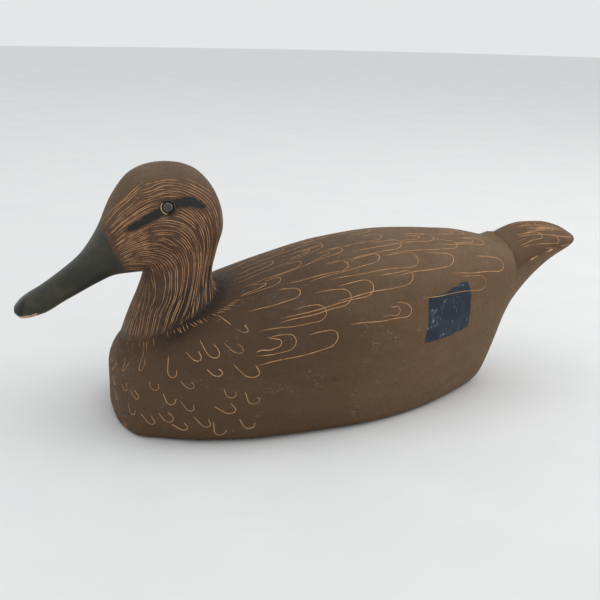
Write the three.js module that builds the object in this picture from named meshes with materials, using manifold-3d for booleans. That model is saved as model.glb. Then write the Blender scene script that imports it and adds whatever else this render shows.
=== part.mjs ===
// Floating duck decoy: a hollow carved body with a domed back and an upswept tail, an inlaid bottom board,
// a separate head block on a sloping neck seat, glass eyes on wires, a lead ballast slab and a line ring.
// Millimetres, +Z up. The duck faces -X, its left side faces -Y, and its flat underside lies at z = 0.
import * as THREE from 'three';
import { mergeVertices } from 'three/addons/utils/BufferGeometryUtils.js';
import Module from 'manifold-3d';

const wasm = await Module();
wasm.setup();

// ---- driving dimensions ----------------------------------------------------------------------------------
const GAP = 0.3; // clearance between touching pieces

// Body, as [station x, value] pairs along its length.
const BODY_FRONT = -152.5;
const BODY_REAR = 215;
const BREAST_ROUND = 15; // length over which the breast rounds off in plan
const TAIL_ROUND = 16; // length over which the tail tip rounds off in plan
const HALF_BEAM = [[-152.5, 49], [-128, 63], [-99, 77], [-55, 84.5], [4, 81.5], [62, 67], [111, 50], [150, 34], [162, 29.5], [184, 25], [215, 21]];
const BEAM_HEIGHT = [[-152.5, 31], [-120, 40], [-55, 45], [0, 48], [52, 54], [101, 67], [140, 88], [180, 105], [215, 111.5]];
const BOTTOM_LINE = [[-152.5, 4], [-150.5, 1], [-148, 0], [120, 0], [133, 2.5], [141, 12.5], [160, 54], [189, 88], [215, 106.5]];
const BACK_TOP = [[-152.5, 33], [-145, 41.5], [-133, 55], [-104, 79], [-74, 89], [-35, 102.5], [13, 116], [62, 122], [111, 119.5],
  [140, 113.5], [157, 108]];
const TAIL_TOP = [[80, 95], [130, 111.5], [150, 118.5], [160, 121.5], [172, 123.5], [188, 123], [202, 119.5], [215, 112.5]];
const LIP_END = 157; // the back ends here in a rounded lip over the tail
const LIP_ROUND = 12; // length over which the lip rounds off in plan
const TAIL_START = 80; // the tail block begins inside the back
const TAIL_FLUSH = 150; // from here on the tail block has the full width
const TAIL_INSET = 1.2; // it starts this much narrower, so it lies inside the back
const TOP_POWER = 2.3; // superellipse power of the domed back
const TAIL_POWER = 1.55; // the same for the roof-like tail
const BOTTOM_FLAT = 0.83; // half width of the flat underside as a share of the half beam
const STERN_START = 40;
const STERN_LENGTH = 110; // over this length the flat underside narrows to a keel line
const STERN_FLAT = 0.1;

// Head and bill, as [station x, value] pairs.
const BILL_TIP = -215;
const HEAD_BACK = -70;
const HEAD_BACK_ROUND = 18; // length over which the back of the head rounds off in plan
const HEAD_TOP = [[-215, 83], [-210, 88.5], [-196, 97], [-182, 106.8], [-169, 117.5], [-157, 134.5], [-146, 157.5], [-133, 173],
  [-121, 178], [-111, 179.2], [-101, 178.4], [-90, 174.7], [-80, 165.5], [-74, 155], [-70, 142]];
const HEAD_BOTTOM = [[-215, 79], [-210, 75.2], [-196, 77.8], [-182, 85.2], [-169, 91.8], [-157, 97.8], [-146, 102.3], [-125, 104],
  [-100, 106], [-85, 112], [-75, 121], [-70, 129]];
const HEAD_HALF_WIDTH = [[-215, 4.5], [-211, 9], [-202, 12], [-190, 12.5], [-169, 14], [-157, 17], [-146, 23], [-133, 28.5],
  [-117, 31], [-102, 31], [-85, 29], [-70, 26]];

// Neck, as [height z, value] pairs.
const NECK_LOW = 40;
const NECK_HIGH = 146;
const NECK_FRONT = [[40, -150], [50, -147], [58, -143.5], [66, -140.5], [72, -138], [80, -134.5], [88, -131], [98, -127.5],
  [104, -126], [125, -126], [146, -126]];
const NECK_BACK = [[40, -50], [60, -59], [84, -73], [100, -78.5], [115, -75], [132, -71], [146, -79]];
const NECK_HALF_WIDTH = [[40, 46], [60, 44], [84, 36], [103, 28], [116, 26.5], [132, 28.5], [146, 27]];

// Neck seat: a flat sloping down toward the breast.
const SEAT_X = -140;
const SEAT_Z = 58;
const SEAT_SLOPE = 0.5; // rise per length toward the tail

// Hollow and bottom board.
const BOARD_THICK = 12;
const BOARD_FRONT = -132;
const BOARD_REAR = 104;
const BOARD_SHARE = 0.78; // board half width as a share of the half beam, less a margin
const BOARD_MARGIN = 3;
const LEDGE = 9; // width of the ledge the board is screwed to
const CAVITY_ROOF = [[-125, 46], [-90, 56], [-35, 78], [20, 90], [60, 92], [97, 74]];
const CAVITY_SHARE = 0.86; // roof half width as a share of the mouth half width

// Fastenings.
const BOARD_SCREWS = [[-116, 0], [-52, 1], [46, 1], [93, 0]]; // station, and 1 where a pair sits on the two sides
const SCREW_HEAD_R = 3.6;
const SCREW_SHANK_R = 1.6;
const SCREW_LENGTH = 24;
const DOWEL_R = 5;
const DOWEL_LENGTH = 26;
const DOWEL_X = -114; // where the dowel crosses the seat
const HEAD_SCREW_X = -96; // where the long screw crosses the seat
const HEAD_SCREW_R = 2.5;
const HEAD_SCREW_UP = 30; // reach above the seat
const HEAD_SCREW_DOWN = 15; // from the seat down to the washer
const WASHER_R = 8;
const WASHER_THICK = 1.6;

// Eyes.
const EYE_X = -113;
const EYE_Z = 153.5;
const EYE_R = 4.2;
const EYE_BALL_R = 4.6; // radius of the glass dome
const EYE_PROUD = 2; // the dome stands this far out of the head
const PUTTY_R = 5.3;
const EYE_DEPTH = 4; // depth of the seating hole measured from the head's surface
const WIRE_R = 0.8;
const WIRE_LENGTH = 12;

// Ballast and line ring in the underside.
const BALLAST = { x: 4, length: 110, width: 34, thick: 5 };
const BALLAST_SCREW_OFFSET = 40;
const RING_POCKET = { x: -78, length: 34, width: 30, depth: 8 };
const RING_R = 9;
const RING_WIRE = 1.3;
const RING_HINGE_X = -88;
const RING_Z = 4.4;
const STAPLE_WIRE = 1.1;
const STAPLE_HALF = 3.2; // half the distance between the legs
const STAPLE_TOP = 17; // the legs end here, clinched short above the board

// ---- finishes ---------------------------------------------------------------------------------------------
const FINISH = {
  brownPaint: { color: 0x5b4636, roughness: 0.72, metalness: 0 },
  headPaint: { color: 0x5a3f2c, roughness: 0.7, metalness: 0 },
  rawPine: { color: 0xb98d5c, roughness: 0.8, metalness: 0 },
  beech: { color: 0xc29a67, roughness: 0.7, metalness: 0 },
  brass: { color: 0xa8843f, roughness: 0.4, metalness: 1 },
  steel: { color: 0x8d8f90, roughness: 0.45, metalness: 1 },
  lead: { color: 0x6d7074, roughness: 0.65, metalness: 1 },
  glass: { color: 0x3a2c22, roughness: 0.08, metalness: 0 },
  putty: { color: 0x6b5a45, roughness: 0.85, metalness: 0 },
};

// ---- curves -----------------------------------------------------------------------------------------------
// A smooth curve through [station, value] pairs that never overshoots them (monotone cubic).
function curve(knots) {
  const xs = knots.map((k) => k[0]);
  const ys = knots.map((k) => k[1]);
  const last = xs.length - 1;
  const step = xs.slice(1).map((x, i) => x - xs[i]);
  const rise = step.map((h, i) => (ys[i + 1] - ys[i]) / h);
  const slope = xs.map((_, i) => {
    if (i === 0) return rise[0];
    if (i === last) return rise[last - 1];
    if (rise[i - 1] * rise[i] <= 0) return 0;
    const a = 2 * step[i] + step[i - 1];
    const b = step[i] + 2 * step[i - 1];
    return (a + b) / (a / rise[i - 1] + b / rise[i]);
  });
  return (x) => {
    const at = Math.min(Math.max(x, xs[0]), xs[last]);
    let i = 0;
    while (i < last - 1 && at > xs[i + 1]) i += 1;
    const h = step[i];
    const t = (at - xs[i]) / h;
    const rest = 1 - t;
    return ys[i] * (1 + 2 * t) * rest * rest + ys[i + 1] * (3 - 2 * t) * t * t
      + h * slope[i] * t * rest * rest - h * slope[i + 1] * rest * t * t;
  };
}

const halfBeam = curve(HALF_BEAM);
const beamHeight = curve(BEAM_HEIGHT);
const bottomLine = curve(BOTTOM_LINE);
const tailTop = curve(TAIL_TOP);
const backTop = curve(BACK_TOP);
const headTop = curve(HEAD_TOP);
const headBottom = curve(HEAD_BOTTOM);
const headHalfWidth = curve(HEAD_HALF_WIDTH);
const neckFront = curve(NECK_FRONT);
const neckBack = curve(NECK_BACK);
const neckHalfWidth = curve(NECK_HALF_WIDTH);
const cavityRoof = curve(CAVITY_ROOF);

// Quarter-circle rounding: 0 at the end itself, 1 from a full length inward.
function roundEnd(inward, length) {
  const t = Math.min(Math.max(inward / length, 0), 1);
  return Math.sqrt(1 - (1 - t) * (1 - t));
}

// Stations from a to b, packed toward the ends that ask for it.
function stations(a, b, count, packStart, packEnd) {
  const list = [];
  for (let i = 0; i <= count; i += 1) {
    let t = i / count;
    if (packStart && packEnd) t = (1 - Math.cos(Math.PI * t)) / 2;
    else if (packStart) t = 1 - Math.cos((Math.PI / 2) * t);
    else if (packEnd) t = Math.sin((Math.PI / 2) * t);
    list.push(a + (b - a) * t);
  }
  return list;
}

// Quarter of a superellipse from (0, 1) to (1, 0).
function quarter(power, count) {
  const list = [];
  for (let i = 0; i <= count; i += 1) {
    const a = (Math.PI / 2) * (i / count);
    list.push([Math.sin(a) ** (2 / power), Math.cos(a) ** (2 / power)]);
  }
  return list;
}

// ---- solids -----------------------------------------------------------------------------------------------
// A closed body through rings of points, each end closed by a fan about its middle.
function loft(rings) {
  const count = rings[0].length;
  const positions = rings.flat(2);
  const index = [];
  for (let r = 0; r < rings.length - 1; r += 1) {
    for (let i = 0; i < count; i += 1) {
      const j = (i + 1) % count;
      const a = r * count + i;
      const b = r * count + j;
      index.push(a, b, a + count, b, b + count, a + count);
    }
  }
  for (const end of [0, rings.length - 1]) {
    const ring = rings[end];
    const middle = [0, 1, 2].map((k) => ring.reduce((sum, p) => sum + p[k], 0) / count);
    const centre = positions.length / 3;
    positions.push(...middle);
    for (let i = 0; i < count; i += 1) {
      const a = end * count + i;
      const b = end * count + ((i + 1) % count);
      if (end === 0) index.push(centre, b, a);
      else index.push(centre, a, b);
    }
  }
  const geometry = new THREE.BufferGeometry();
  geometry.setAttribute('position', new THREE.Float32BufferAttribute(positions, 3));
  geometry.setIndex(index);
  return solid(geometry);
}

// The signed volume of an indexed geometry: negative when its faces look inward.
function signedVolume(vertices, triangles) {
  const p = [new THREE.Vector3(), new THREE.Vector3(), new THREE.Vector3()];
  let sum = 0;
  for (let i = 0; i < triangles.length; i += 3) {
    for (let k = 0; k < 3; k += 1) p[k].fromArray(vertices, triangles[i + k] * 3);
    sum += p[0].dot(p[1].cross(p[2]));
  }
  return sum;
}

// Turns a three.js geometry into a solid that can be joined and cut.
function solid(source) {
  const bare = source.clone();
  bare.deleteAttribute('normal');
  bare.deleteAttribute('uv');
  const merged = mergeVertices(bare, 1e-4);
  const vertices = Float32Array.from(merged.attributes.position.array);
  const kept = [];
  const raw = merged.index.array;
  for (let i = 0; i < raw.length; i += 3) {
    const [a, b, c] = [raw[i], raw[i + 1], raw[i + 2]];
    if (a !== b && b !== c && c !== a) kept.push(a, b, c);
  }
  if (signedVolume(vertices, kept) < 0) {
    for (let i = 0; i < kept.length; i += 3) [kept[i + 1], kept[i + 2]] = [kept[i + 2], kept[i + 1]];
  }
  return new wasm.Manifold(new wasm.Mesh({
    numProp: 3,
    vertProperties: vertices,
    triVerts: Uint32Array.from(kept),
  }));
}

// A solid of revolution about +Z, moved so that its axis runs from a point along a direction.
function turned(profile, segments, origin, direction) {
  const points = profile.map(([r, h]) => new THREE.Vector2(r, h));
  const geometry = new THREE.LatheGeometry(points, segments);
  const up = new THREE.Vector3(0, 1, 0);
  const along = new THREE.Vector3(...direction).normalize();
  geometry.applyQuaternion(new THREE.Quaternion().setFromUnitVectors(up, along));
  geometry.translate(...origin);
  return solid(geometry);
}

function rod(radius, from, to, segments, origin, direction) {
  return turned([[0, from], [radius, from], [radius, to], [0, to]], segments, origin, direction);
}

function box(x0, x1, y0, y1, z0, z1) {
  const geometry = new THREE.BoxGeometry(x1 - x0, y1 - y0, z1 - z0);
  geometry.translate((x0 + x1) / 2, (y0 + y1) / 2, (z0 + z1) / 2);
  return solid(geometry);
}

// A wire with round section along a list of points.
function wire(radius, points, steps, closed = false) {
  const path = new THREE.CatmullRomCurve3(points.map((p) => new THREE.Vector3(...p)), closed, 'catmullrom', 0.5);
  const section = new THREE.Shape();
  section.absarc(0, 0, radius, 0, 2 * Math.PI, false);
  return solid(new THREE.ExtrudeGeometry(section, {
    steps,
    extrudePath: path,
    curveSegments: 4,
    bevelEnabled: false,
  }));
}

// ---- body -------------------------------------------------------------------------------------------------
function mirrored(x, half) {
  const left = half.map(([y, z]) => [x, -y, z]);
  const right = half.map(([y, z]) => [x, y, z]).reverse();
  return [...left, ...right];
}

function bodyWidth(x) {
  return halfBeam(x) * roundEnd(x - BODY_FRONT, BREAST_ROUND) * roundEnd(BODY_REAR - x, TAIL_ROUND);
}

// A body section: a domed top over the widest line, and sides that turn in to the flat underside.
function bodySection(x, width, top, middle, low, power) {
  const stern = Math.min(Math.max((x - STERN_START) / STERN_LENGTH, 0), 1);
  const flat = width * (BOTTOM_FLAT + (STERN_FLAT - BOTTOM_FLAT) * stern * stern);
  const half = quarter(power, 6).map(([s, c]) => [width * s, middle + (top - middle) * c]);
  for (const [s, c] of quarter(2.6 - 1.3 * stern, 5).slice(1)) {
    half.push([flat + (width - flat) * c, middle - (middle - low) * s]);
  }
  return mirrored(x, half);
}

// The breast, sides and domed back, ending in the lip over the tail.
function backRing(x) {
  const lip = Math.max(roundEnd(LIP_END - x, LIP_ROUND), 0.04);
  const middle = beamHeight(x);
  const low = middle - (middle - bottomLine(x)) * lip;
  return bodySection(x, bodyWidth(x) * lip, backTop(x), middle, low, TOP_POWER);
}

// The stern and tail, starting a little narrower inside the back.
function tailRing(x) {
  const inset = TAIL_INSET * Math.max((TAIL_FLUSH - x) / (TAIL_FLUSH - TAIL_START), 0);
  const low = bottomLine(x) + inset;
  const top = Math.max(tailTop(x), low + 3);
  const middle = Math.min(beamHeight(x), top - 1.5);
  return bodySection(x, bodyWidth(x) - inset, top, middle, Math.min(low, middle - 1), TAIL_POWER);
}

function neckRing(z, grow) {
  const front = neckFront(z) - grow;
  const back = neckBack(z) + grow;
  const ring = [];
  const sides = 22;
  for (let i = 0; i < sides; i += 1) {
    const a = (2 * Math.PI * i) / sides;
    const reach = (back - front) / 2;
    ring.push([(front + back) / 2 + reach * Math.cos(a), (neckHalfWidth(z) + grow) * Math.sin(a), z]);
  }
  return ring;
}

function headRing(x) {
  const top = headTop(x);
  const bottom = headBottom(x);
  const width = headHalfWidth(x) * roundEnd(HEAD_BACK - x, HEAD_BACK_ROUND);
  const middle = (top + bottom) / 2;
  const upper = quarter(2.2, 6).map(([s, c]) => [width * s, middle + (top - middle) * c]);
  const lower = quarter(2.2, 6).slice(0, 6).reverse().map(([s, c]) => [width * s, middle - (middle - bottom) * c]);
  const left = [...upper, ...lower].map(([y, z]) => [x, -y, z]);
  const right = [...upper, ...lower].slice(1, -1).map(([y, z]) => [x, y, z]).reverse();
  return [...left, ...right];
}

const seatTilt = Math.atan(SEAT_SLOPE);
const seatNormal = [-Math.sin(seatTilt), 0, Math.cos(seatTilt)];

// The point of the neck seat above station x, lifted along the seat's normal.
function onSeat(x, lift = 0) {
  return [x + seatNormal[0] * lift, 0, SEAT_Z + SEAT_SLOPE * (x - SEAT_X) + seatNormal[2] * lift];
}

// Everything above the neck seat, lifted along the seat's normal.
function aboveSeat(lift) {
  const size = 400;
  const geometry = new THREE.BoxGeometry(size, size, size);
  geometry.translate(0, 0, size / 2 + lift);
  geometry.rotateY(-seatTilt);
  geometry.translate(...onSeat(HEAD_SCREW_X));
  return solid(geometry);
}

// Plan outline of the bottom board or of the hollow's mouth, from the flat underside moved inward.
function boardHalf(x, inset) {
  const front = BOARD_FRONT + inset;
  const rear = BOARD_REAR - inset;
  const ends = roundEnd(x - front, 26) * roundEnd(rear - x, 26);
  return Math.max((halfBeam(x) * BOARD_SHARE - BOARD_MARGIN - inset) * ends, 0.8);
}

function plate(inset, low, high) {
  const xs = stations(BOARD_FRONT + inset, BOARD_REAR - inset, 22, true, true);
  return loft(xs.map((x) => {
    const y = boardHalf(x, inset);
    return [[x, -y, low], [x, y, low], [x, y, high], [x, -y, high]];
  }));
}

function hollow() {
  const inset = LEDGE;
  const xs = stations(BOARD_FRONT + inset, BOARD_REAR - inset, 14, true, true);
  return loft(xs.map((x) => {
    const mouth = boardHalf(x, inset);
    const roof = cavityRoof(x);
    const half = quarter(3, 4).map(([s, c]) => [mouth * CAVITY_SHARE * s, roof - 22 + 22 * c]);
    half.push([mouth, BOARD_THICK - 1]);
    return mirrored(x, half);
  }));
}

// Screw stations on the ledge under the board.
function screwPlaces() {
  const places = [];
  for (const [x, paired] of BOARD_SCREWS) {
    const y = boardHalf(x, LEDGE / 2) - 0.5;
    if (paired) places.push([x, -y], [x, y]);
    else places.push([x, 0]);
  }
  return places;
}

// A countersunk screw standing head down; grow gives the clearance of its hole.
function countersunk(x, y, z, length, grow) {
  const head = SCREW_HEAD_R + grow;
  const shank = SCREW_SHANK_R + grow;
  const floor = grow > 0 ? -1 : 0;
  return turned([[0, floor], [head, floor], [head, 0.6], [shank, 0.6 + head - shank], [shank, length + grow], [0, length + grow]],
    12, [x, y, z], [0, 0, 1]);
}

function slotted(screw, x, y, z) {
  return screw.subtract(box(x - 0.5, x + 0.5, y - 5, y + 5, z - 1, z + 1));
}

function eyeFrame(side) {
  const spread = headHalfWidth(EYE_X);
  const middle = (headTop(EYE_X) + headBottom(EYE_X)) / 2;
  const rise = (EYE_Z - middle) / ((headTop(EYE_X) - headBottom(EYE_X)) / 2);
  const y = spread * (1 - rise ** 2.2) ** (1 / 2.2);
  const outward = new THREE.Vector3(-0.1, side, 0.22).normalize();
  return { surface: [EYE_X, side * y, EYE_Z], outward: outward.toArray() };
}

// A glass dome with a flat back, sunk in its hole.
function eyeBall(side) {
  const { surface, outward } = eyeFrame(side);
  const base = EYE_PROUD - EYE_BALL_R;
  const profile = [[0, -EYE_DEPTH + GAP + 1], [EYE_R - 1, -EYE_DEPTH + GAP + 1], [EYE_R, -EYE_DEPTH + GAP + 2]];
  for (let i = 0; i <= 6; i += 1) {
    const a = Math.acos(Math.min(EYE_R / EYE_BALL_R, 1)) + (i / 6) * (Math.PI / 2 - Math.acos(EYE_R / EYE_BALL_R));
    profile.push([i === 6 ? 0 : EYE_BALL_R * Math.cos(a), base + EYE_BALL_R * Math.sin(a)]);
  }
  return turned(profile, 20, surface, outward);
}

function eyePutty(side) {
  const { surface, outward } = eyeFrame(side);
  const inner = EYE_R + GAP;
  const outer = PUTTY_R;
  const low = -EYE_DEPTH + GAP;
  return turned([[inner, low], [outer, low], [outer, 0.2], [(inner + outer) / 2, 0.7], [inner, 0.4], [inner, low]],
    20, surface, outward);
}

function eyeSocket(side) {
  const { surface, outward } = eyeFrame(side);
  return rod(PUTTY_R + GAP, -EYE_DEPTH, 6, 20, surface, outward)
    .add(rod(WIRE_R + GAP, -EYE_DEPTH - WIRE_LENGTH - 1, 0, 10, surface, outward));
}

// ---- build ------------------------------------------------------------------------------------------------
const back = loft([
  ...stations(BODY_FRONT + 0.3, -122, 6, true, false),
  ...stations(-110, 116, 13, false, false),
  ...stations(124, LIP_END - 0.2, 7, false, true),
].map(backRing));
const tail = loft([
  ...stations(TAIL_START, 150, 6, false, false),
  ...stations(157, BODY_REAR - 0.3, 9, false, true),
].map(tailRing));
const neckLevels = stations(NECK_LOW, NECK_HIGH, 11, false, false);
const neck = loft(neckLevels.map((z) => neckRing(z, 0)));
const neckSocket = loft(neckLevels.map((z) => neckRing(z, GAP)));
const skull = loft([
  ...stations(BILL_TIP, -198, 4, true, false),
  ...stations(-190, -90, 13, false, false),
  ...stations(-86, HEAD_BACK - 0.2, 6, false, true),
].map(headRing));

const places = screwPlaces();
const dowelAxis = onSeat(DOWEL_X);
const headScrewAxis = onSeat(HEAD_SCREW_X);

function buildBody() {
  const stub = neck.subtract(aboveSeat(0)).intersect(box(-160, -40, -60, 60, 30, 200));
  let body = back.add(tail).add(stub);
  body = body.subtract(neckSocket.intersect(aboveSeat(0)));
  body = body.subtract(hollow());
  body = body.subtract(plate(-GAP, -1, BOARD_THICK + GAP));
  body = body.subtract(rod(DOWEL_R + GAP, -DOWEL_LENGTH / 2 - GAP, 5, 16, dowelAxis, seatNormal));
  body = body.subtract(rod(HEAD_SCREW_R + GAP, -60, 5, 12, headScrewAxis, seatNormal));
  body = body.subtract(rod(WASHER_R + 1, -60, -HEAD_SCREW_DOWN, 20, headScrewAxis, seatNormal));
  for (const [x, y] of places) body = body.subtract(countersunk(x, y, 0, SCREW_LENGTH, GAP));
  return body;
}

function buildHead() {
  let head = skull.add(neck).intersect(aboveSeat(GAP));
  head = head.subtract(rod(DOWEL_R + GAP, -5, DOWEL_LENGTH / 2 + GAP, 16, dowelAxis, seatNormal));
  head = head.subtract(rod(HEAD_SCREW_R + GAP, -5, HEAD_SCREW_UP + GAP, 12, headScrewAxis, seatNormal));
  for (const side of [-1, 1]) head = head.subtract(eyeSocket(side));
  return head;
}

function buildBoard() {
  let board = plate(0, 0, BOARD_THICK);
  for (const [x, y] of places) board = board.subtract(countersunk(x, y, 0, SCREW_LENGTH, GAP));
  board = board.subtract(box(BALLAST.x - BALLAST.length / 2 - GAP, BALLAST.x + BALLAST.length / 2 + GAP,
    -BALLAST.width / 2 - GAP, BALLAST.width / 2 + GAP, -1, BALLAST.thick + GAP));
  for (const offset of [-BALLAST_SCREW_OFFSET, BALLAST_SCREW_OFFSET]) {
    board = board.subtract(rod(SCREW_SHANK_R + GAP, 0, 10 + GAP, 16, [BALLAST.x + offset, 0, 0], [0, 0, 1]));
  }
  board = board.subtract(box(RING_POCKET.x - RING_POCKET.length / 2, RING_POCKET.x + RING_POCKET.length / 2,
    -RING_POCKET.width / 2, RING_POCKET.width / 2, -1, RING_POCKET.depth));
  for (const end of [-STAPLE_HALF, STAPLE_HALF]) {
    board = board.subtract(rod(STAPLE_WIRE + GAP, RING_POCKET.depth - 2, BOARD_THICK + 2, 12,
      [RING_HINGE_X + end, 0, 0], [0, 0, 1]));
  }
  return board;
}

function buildBallast() {
  const half = BALLAST.length / 2;
  const top = BALLAST.thick;
  let slab = box(BALLAST.x - half, BALLAST.x + half, -BALLAST.width / 2, BALLAST.width / 2, 0, top);
  for (const offset of [-BALLAST_SCREW_OFFSET, BALLAST_SCREW_OFFSET]) {
    slab = slab.subtract(countersunk(BALLAST.x + offset, 0, 0, 12, GAP));
  }
  return slab;
}

function buildStaple() {
  const low = RING_Z - RING_WIRE - GAP - STAPLE_WIRE;
  const bend = 1.6;
  const points = [[RING_HINGE_X - STAPLE_HALF, 0, STAPLE_TOP], [RING_HINGE_X - STAPLE_HALF, 0, STAPLE_TOP - 4],
    [RING_HINGE_X - STAPLE_HALF, 0, low + bend + 2], [RING_HINGE_X - STAPLE_HALF, 0, low + bend],
    [RING_HINGE_X - STAPLE_HALF + bend, 0, low], [RING_HINGE_X + STAPLE_HALF - bend, 0, low],
    [RING_HINGE_X + STAPLE_HALF, 0, low + bend], [RING_HINGE_X + STAPLE_HALF, 0, low + bend + 2],
    [RING_HINGE_X + STAPLE_HALF, 0, STAPLE_TOP - 4], [RING_HINGE_X + STAPLE_HALF, 0, STAPLE_TOP]];
  return wire(STAPLE_WIRE, points, 24);
}

function buildRing() {
  const geometry = new THREE.TorusGeometry(RING_R, RING_WIRE, 8, 24);
  geometry.translate(RING_HINGE_X + RING_R, 0, RING_Z);
  return solid(geometry);
}

function buildHeadScrew() {
  const low = -HEAD_SCREW_DOWN - WASHER_THICK - GAP * 2;
  const screw = turned([[0, low - 3.5], [4.5, low - 3.5], [4.5, low - 1], [3.8, low], [HEAD_SCREW_R, low],
    [HEAD_SCREW_R, HEAD_SCREW_UP - 4], [0, HEAD_SCREW_UP]], 16, headScrewAxis, seatNormal);
  return screw;
}

function buildWasher() {
  const inner = HEAD_SCREW_R + GAP;
  const top = -HEAD_SCREW_DOWN - GAP;
  return turned([[inner, top - WASHER_THICK], [WASHER_R, top - WASHER_THICK], [WASHER_R, top], [inner, top],
    [inner, top - WASHER_THICK]], 24, headScrewAxis, seatNormal);
}

// ---- assembly ---------------------------------------------------------------------------------------------
const group = new THREE.Group();
group.name = 'duck_decoy';

function add(name, shape, finish) {
  const mesh = shape.getMesh();
  const geometry = new THREE.BufferGeometry();
  geometry.setAttribute('position', new THREE.Float32BufferAttribute(Float32Array.from(mesh.vertProperties), 3));
  geometry.setIndex(Array.from(mesh.triVerts));
  geometry.computeVertexNormals();
  const material = new THREE.MeshStandardMaterial(finish);
  const node = new THREE.Mesh(geometry, material);
  node.name = name;
  group.add(node);
}

add('body', buildBody(), FINISH.brownPaint);
add('bottom_board', buildBoard(), FINISH.rawPine);
add('head', buildHead(), FINISH.headPaint);
add('head_dowel', rod(DOWEL_R, -DOWEL_LENGTH / 2, DOWEL_LENGTH / 2, 16, dowelAxis, seatNormal), FINISH.beech);
add('head_screw', buildHeadScrew(), FINISH.steel);
add('head_screw_washer', buildWasher(), FINISH.steel);
for (const [side, label] of [[-1, 'left'], [1, 'right']]) {
  const { surface, outward } = eyeFrame(side);
  add(`eye_${label}`, eyeBall(side), FINISH.glass);
  add(`eye_putty_${label}`, eyePutty(side), FINISH.putty);
  add(`eye_wire_${label}`, rod(WIRE_R, -EYE_DEPTH - WIRE_LENGTH, -EYE_DEPTH + 0.9, 10, surface, outward), FINISH.steel);
}
places.forEach(([x, y], i) => {
  add(`board_screw_${i + 1}`, slotted(countersunk(x, y, 0, SCREW_LENGTH, 0), x, y, 0), FINISH.brass);
});
add('ballast_weight', buildBallast(), FINISH.lead);
for (const [offset, label] of [[-BALLAST_SCREW_OFFSET, 'front'], [BALLAST_SCREW_OFFSET, 'rear']]) {
  const x = BALLAST.x + offset;
  add(`ballast_screw_${label}`, slotted(countersunk(x, 0, 0, 10, 0), x, 0, 0), FINISH.brass);
}
add('line_staple', buildStaple(), FINISH.brass);
add('line_ring', buildRing(), FINISH.brass);

export default group;
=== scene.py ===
"""A carved floating duck decoy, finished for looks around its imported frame.

Every Blender object is in metres in the frame's own axes: the duck faces -X, its left side faces -Y and +Z is up.
The sizes in the classes below are millimetres, because that is how a carver would note them down.
"""

import logging
import math
import random
from collections.abc import Iterable, Sequence
from dataclasses import dataclass, field
from enum import Enum, IntEnum

import bpy
import numpy as np
from bpy.types import Material, Mesh, Node, Object
from bpy.types import NodeSocket as Socket
from mathutils import Matrix, Vector
from mathutils.bvhtree import BVHTree


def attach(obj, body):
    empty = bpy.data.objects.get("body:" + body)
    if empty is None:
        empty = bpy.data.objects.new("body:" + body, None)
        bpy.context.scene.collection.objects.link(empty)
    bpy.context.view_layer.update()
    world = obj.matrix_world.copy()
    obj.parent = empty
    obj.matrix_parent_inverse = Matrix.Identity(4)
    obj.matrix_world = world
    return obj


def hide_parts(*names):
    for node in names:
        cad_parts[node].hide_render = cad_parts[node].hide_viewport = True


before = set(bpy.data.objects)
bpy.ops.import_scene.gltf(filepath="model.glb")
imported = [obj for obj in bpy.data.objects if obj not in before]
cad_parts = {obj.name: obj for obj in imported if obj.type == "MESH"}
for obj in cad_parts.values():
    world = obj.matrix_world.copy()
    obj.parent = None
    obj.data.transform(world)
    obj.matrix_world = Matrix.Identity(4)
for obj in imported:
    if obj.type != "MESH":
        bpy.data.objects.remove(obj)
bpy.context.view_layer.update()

MM = 0.001
LOG = logging.getLogger("decoy")
Pairs = tuple[tuple[float, float], ...]
Triple = tuple[float, float, float]
Colour = tuple[float, float, float]
Value = Socket | float | Colour


class Side(IntEnum):
    """The two sides of the duck, each with its sign on the Y axis."""

    LEFT = -1
    RIGHT = 1


# ---- curves and sections ----
class Profile:
    """A smooth curve through (station, value) pairs that never overshoots them."""

    def __init__(self, knots: Pairs) -> None:
        """Prepare the slopes of the monotone cubic.

        Args:
            knots: The (station, value) pairs in rising order of station.
        """
        self.xs = np.array([k[0] for k in knots], float)
        self.ys = np.array([k[1] for k in knots], float)
        self.step = np.diff(self.xs)
        rise = np.diff(self.ys) / self.step
        slope = np.zeros(len(knots))
        slope[0], slope[-1] = rise[0], rise[-1]
        for i in range(1, len(knots) - 1):
            if rise[i - 1] * rise[i] > 0:
                a = 2 * self.step[i] + self.step[i - 1]
                b = self.step[i] + 2 * self.step[i - 1]
                slope[i] = (a + b) / (a / rise[i - 1] + b / rise[i])
        self.slope = slope

    def __call__(self, station: np.ndarray | float) -> np.ndarray:
        """Evaluate the curve.

        Args:
            station: One station or an array of them.

        Returns:
            The values there; the ends are held beyond the first and last pair.
        """
        at = np.clip(np.asarray(station, float), self.xs[0], self.xs[-1])
        i = np.clip(np.searchsorted(self.xs, at, side="right") - 1, 0, len(self.step) - 1)
        h = self.step[i]
        t = (at - self.xs[i]) / h
        rest = 1 - t
        return (
            self.ys[i] * (1 + 2 * t) * rest**2
            + self.ys[i + 1] * (3 - 2 * t) * t**2
            + h * self.slope[i] * t * rest**2
            - h * self.slope[i + 1] * rest * t**2
        )


def round_end(inward: float, length: float) -> float:
    """The rise of a quarter circle: 0 at an end itself and 1 from a full length inward."""
    t = min(max(inward / length, 0.0), 1.0)
    return math.sqrt(1 - (1 - t) ** 2)


def ramp(values: np.ndarray, start: np.ndarray | float, length: float) -> np.ndarray:
    """A straight rise from 0 at start to 1 a length further on; a negative length runs the other way."""
    return np.clip((values - start) / length, 0, 1)


def hump(values: np.ndarray, middle: np.ndarray | float, width: float) -> np.ndarray:
    """A bell-shaped rise to 1 round a middle value."""
    return np.exp(-(((values - middle) / width) ** 2))


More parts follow.
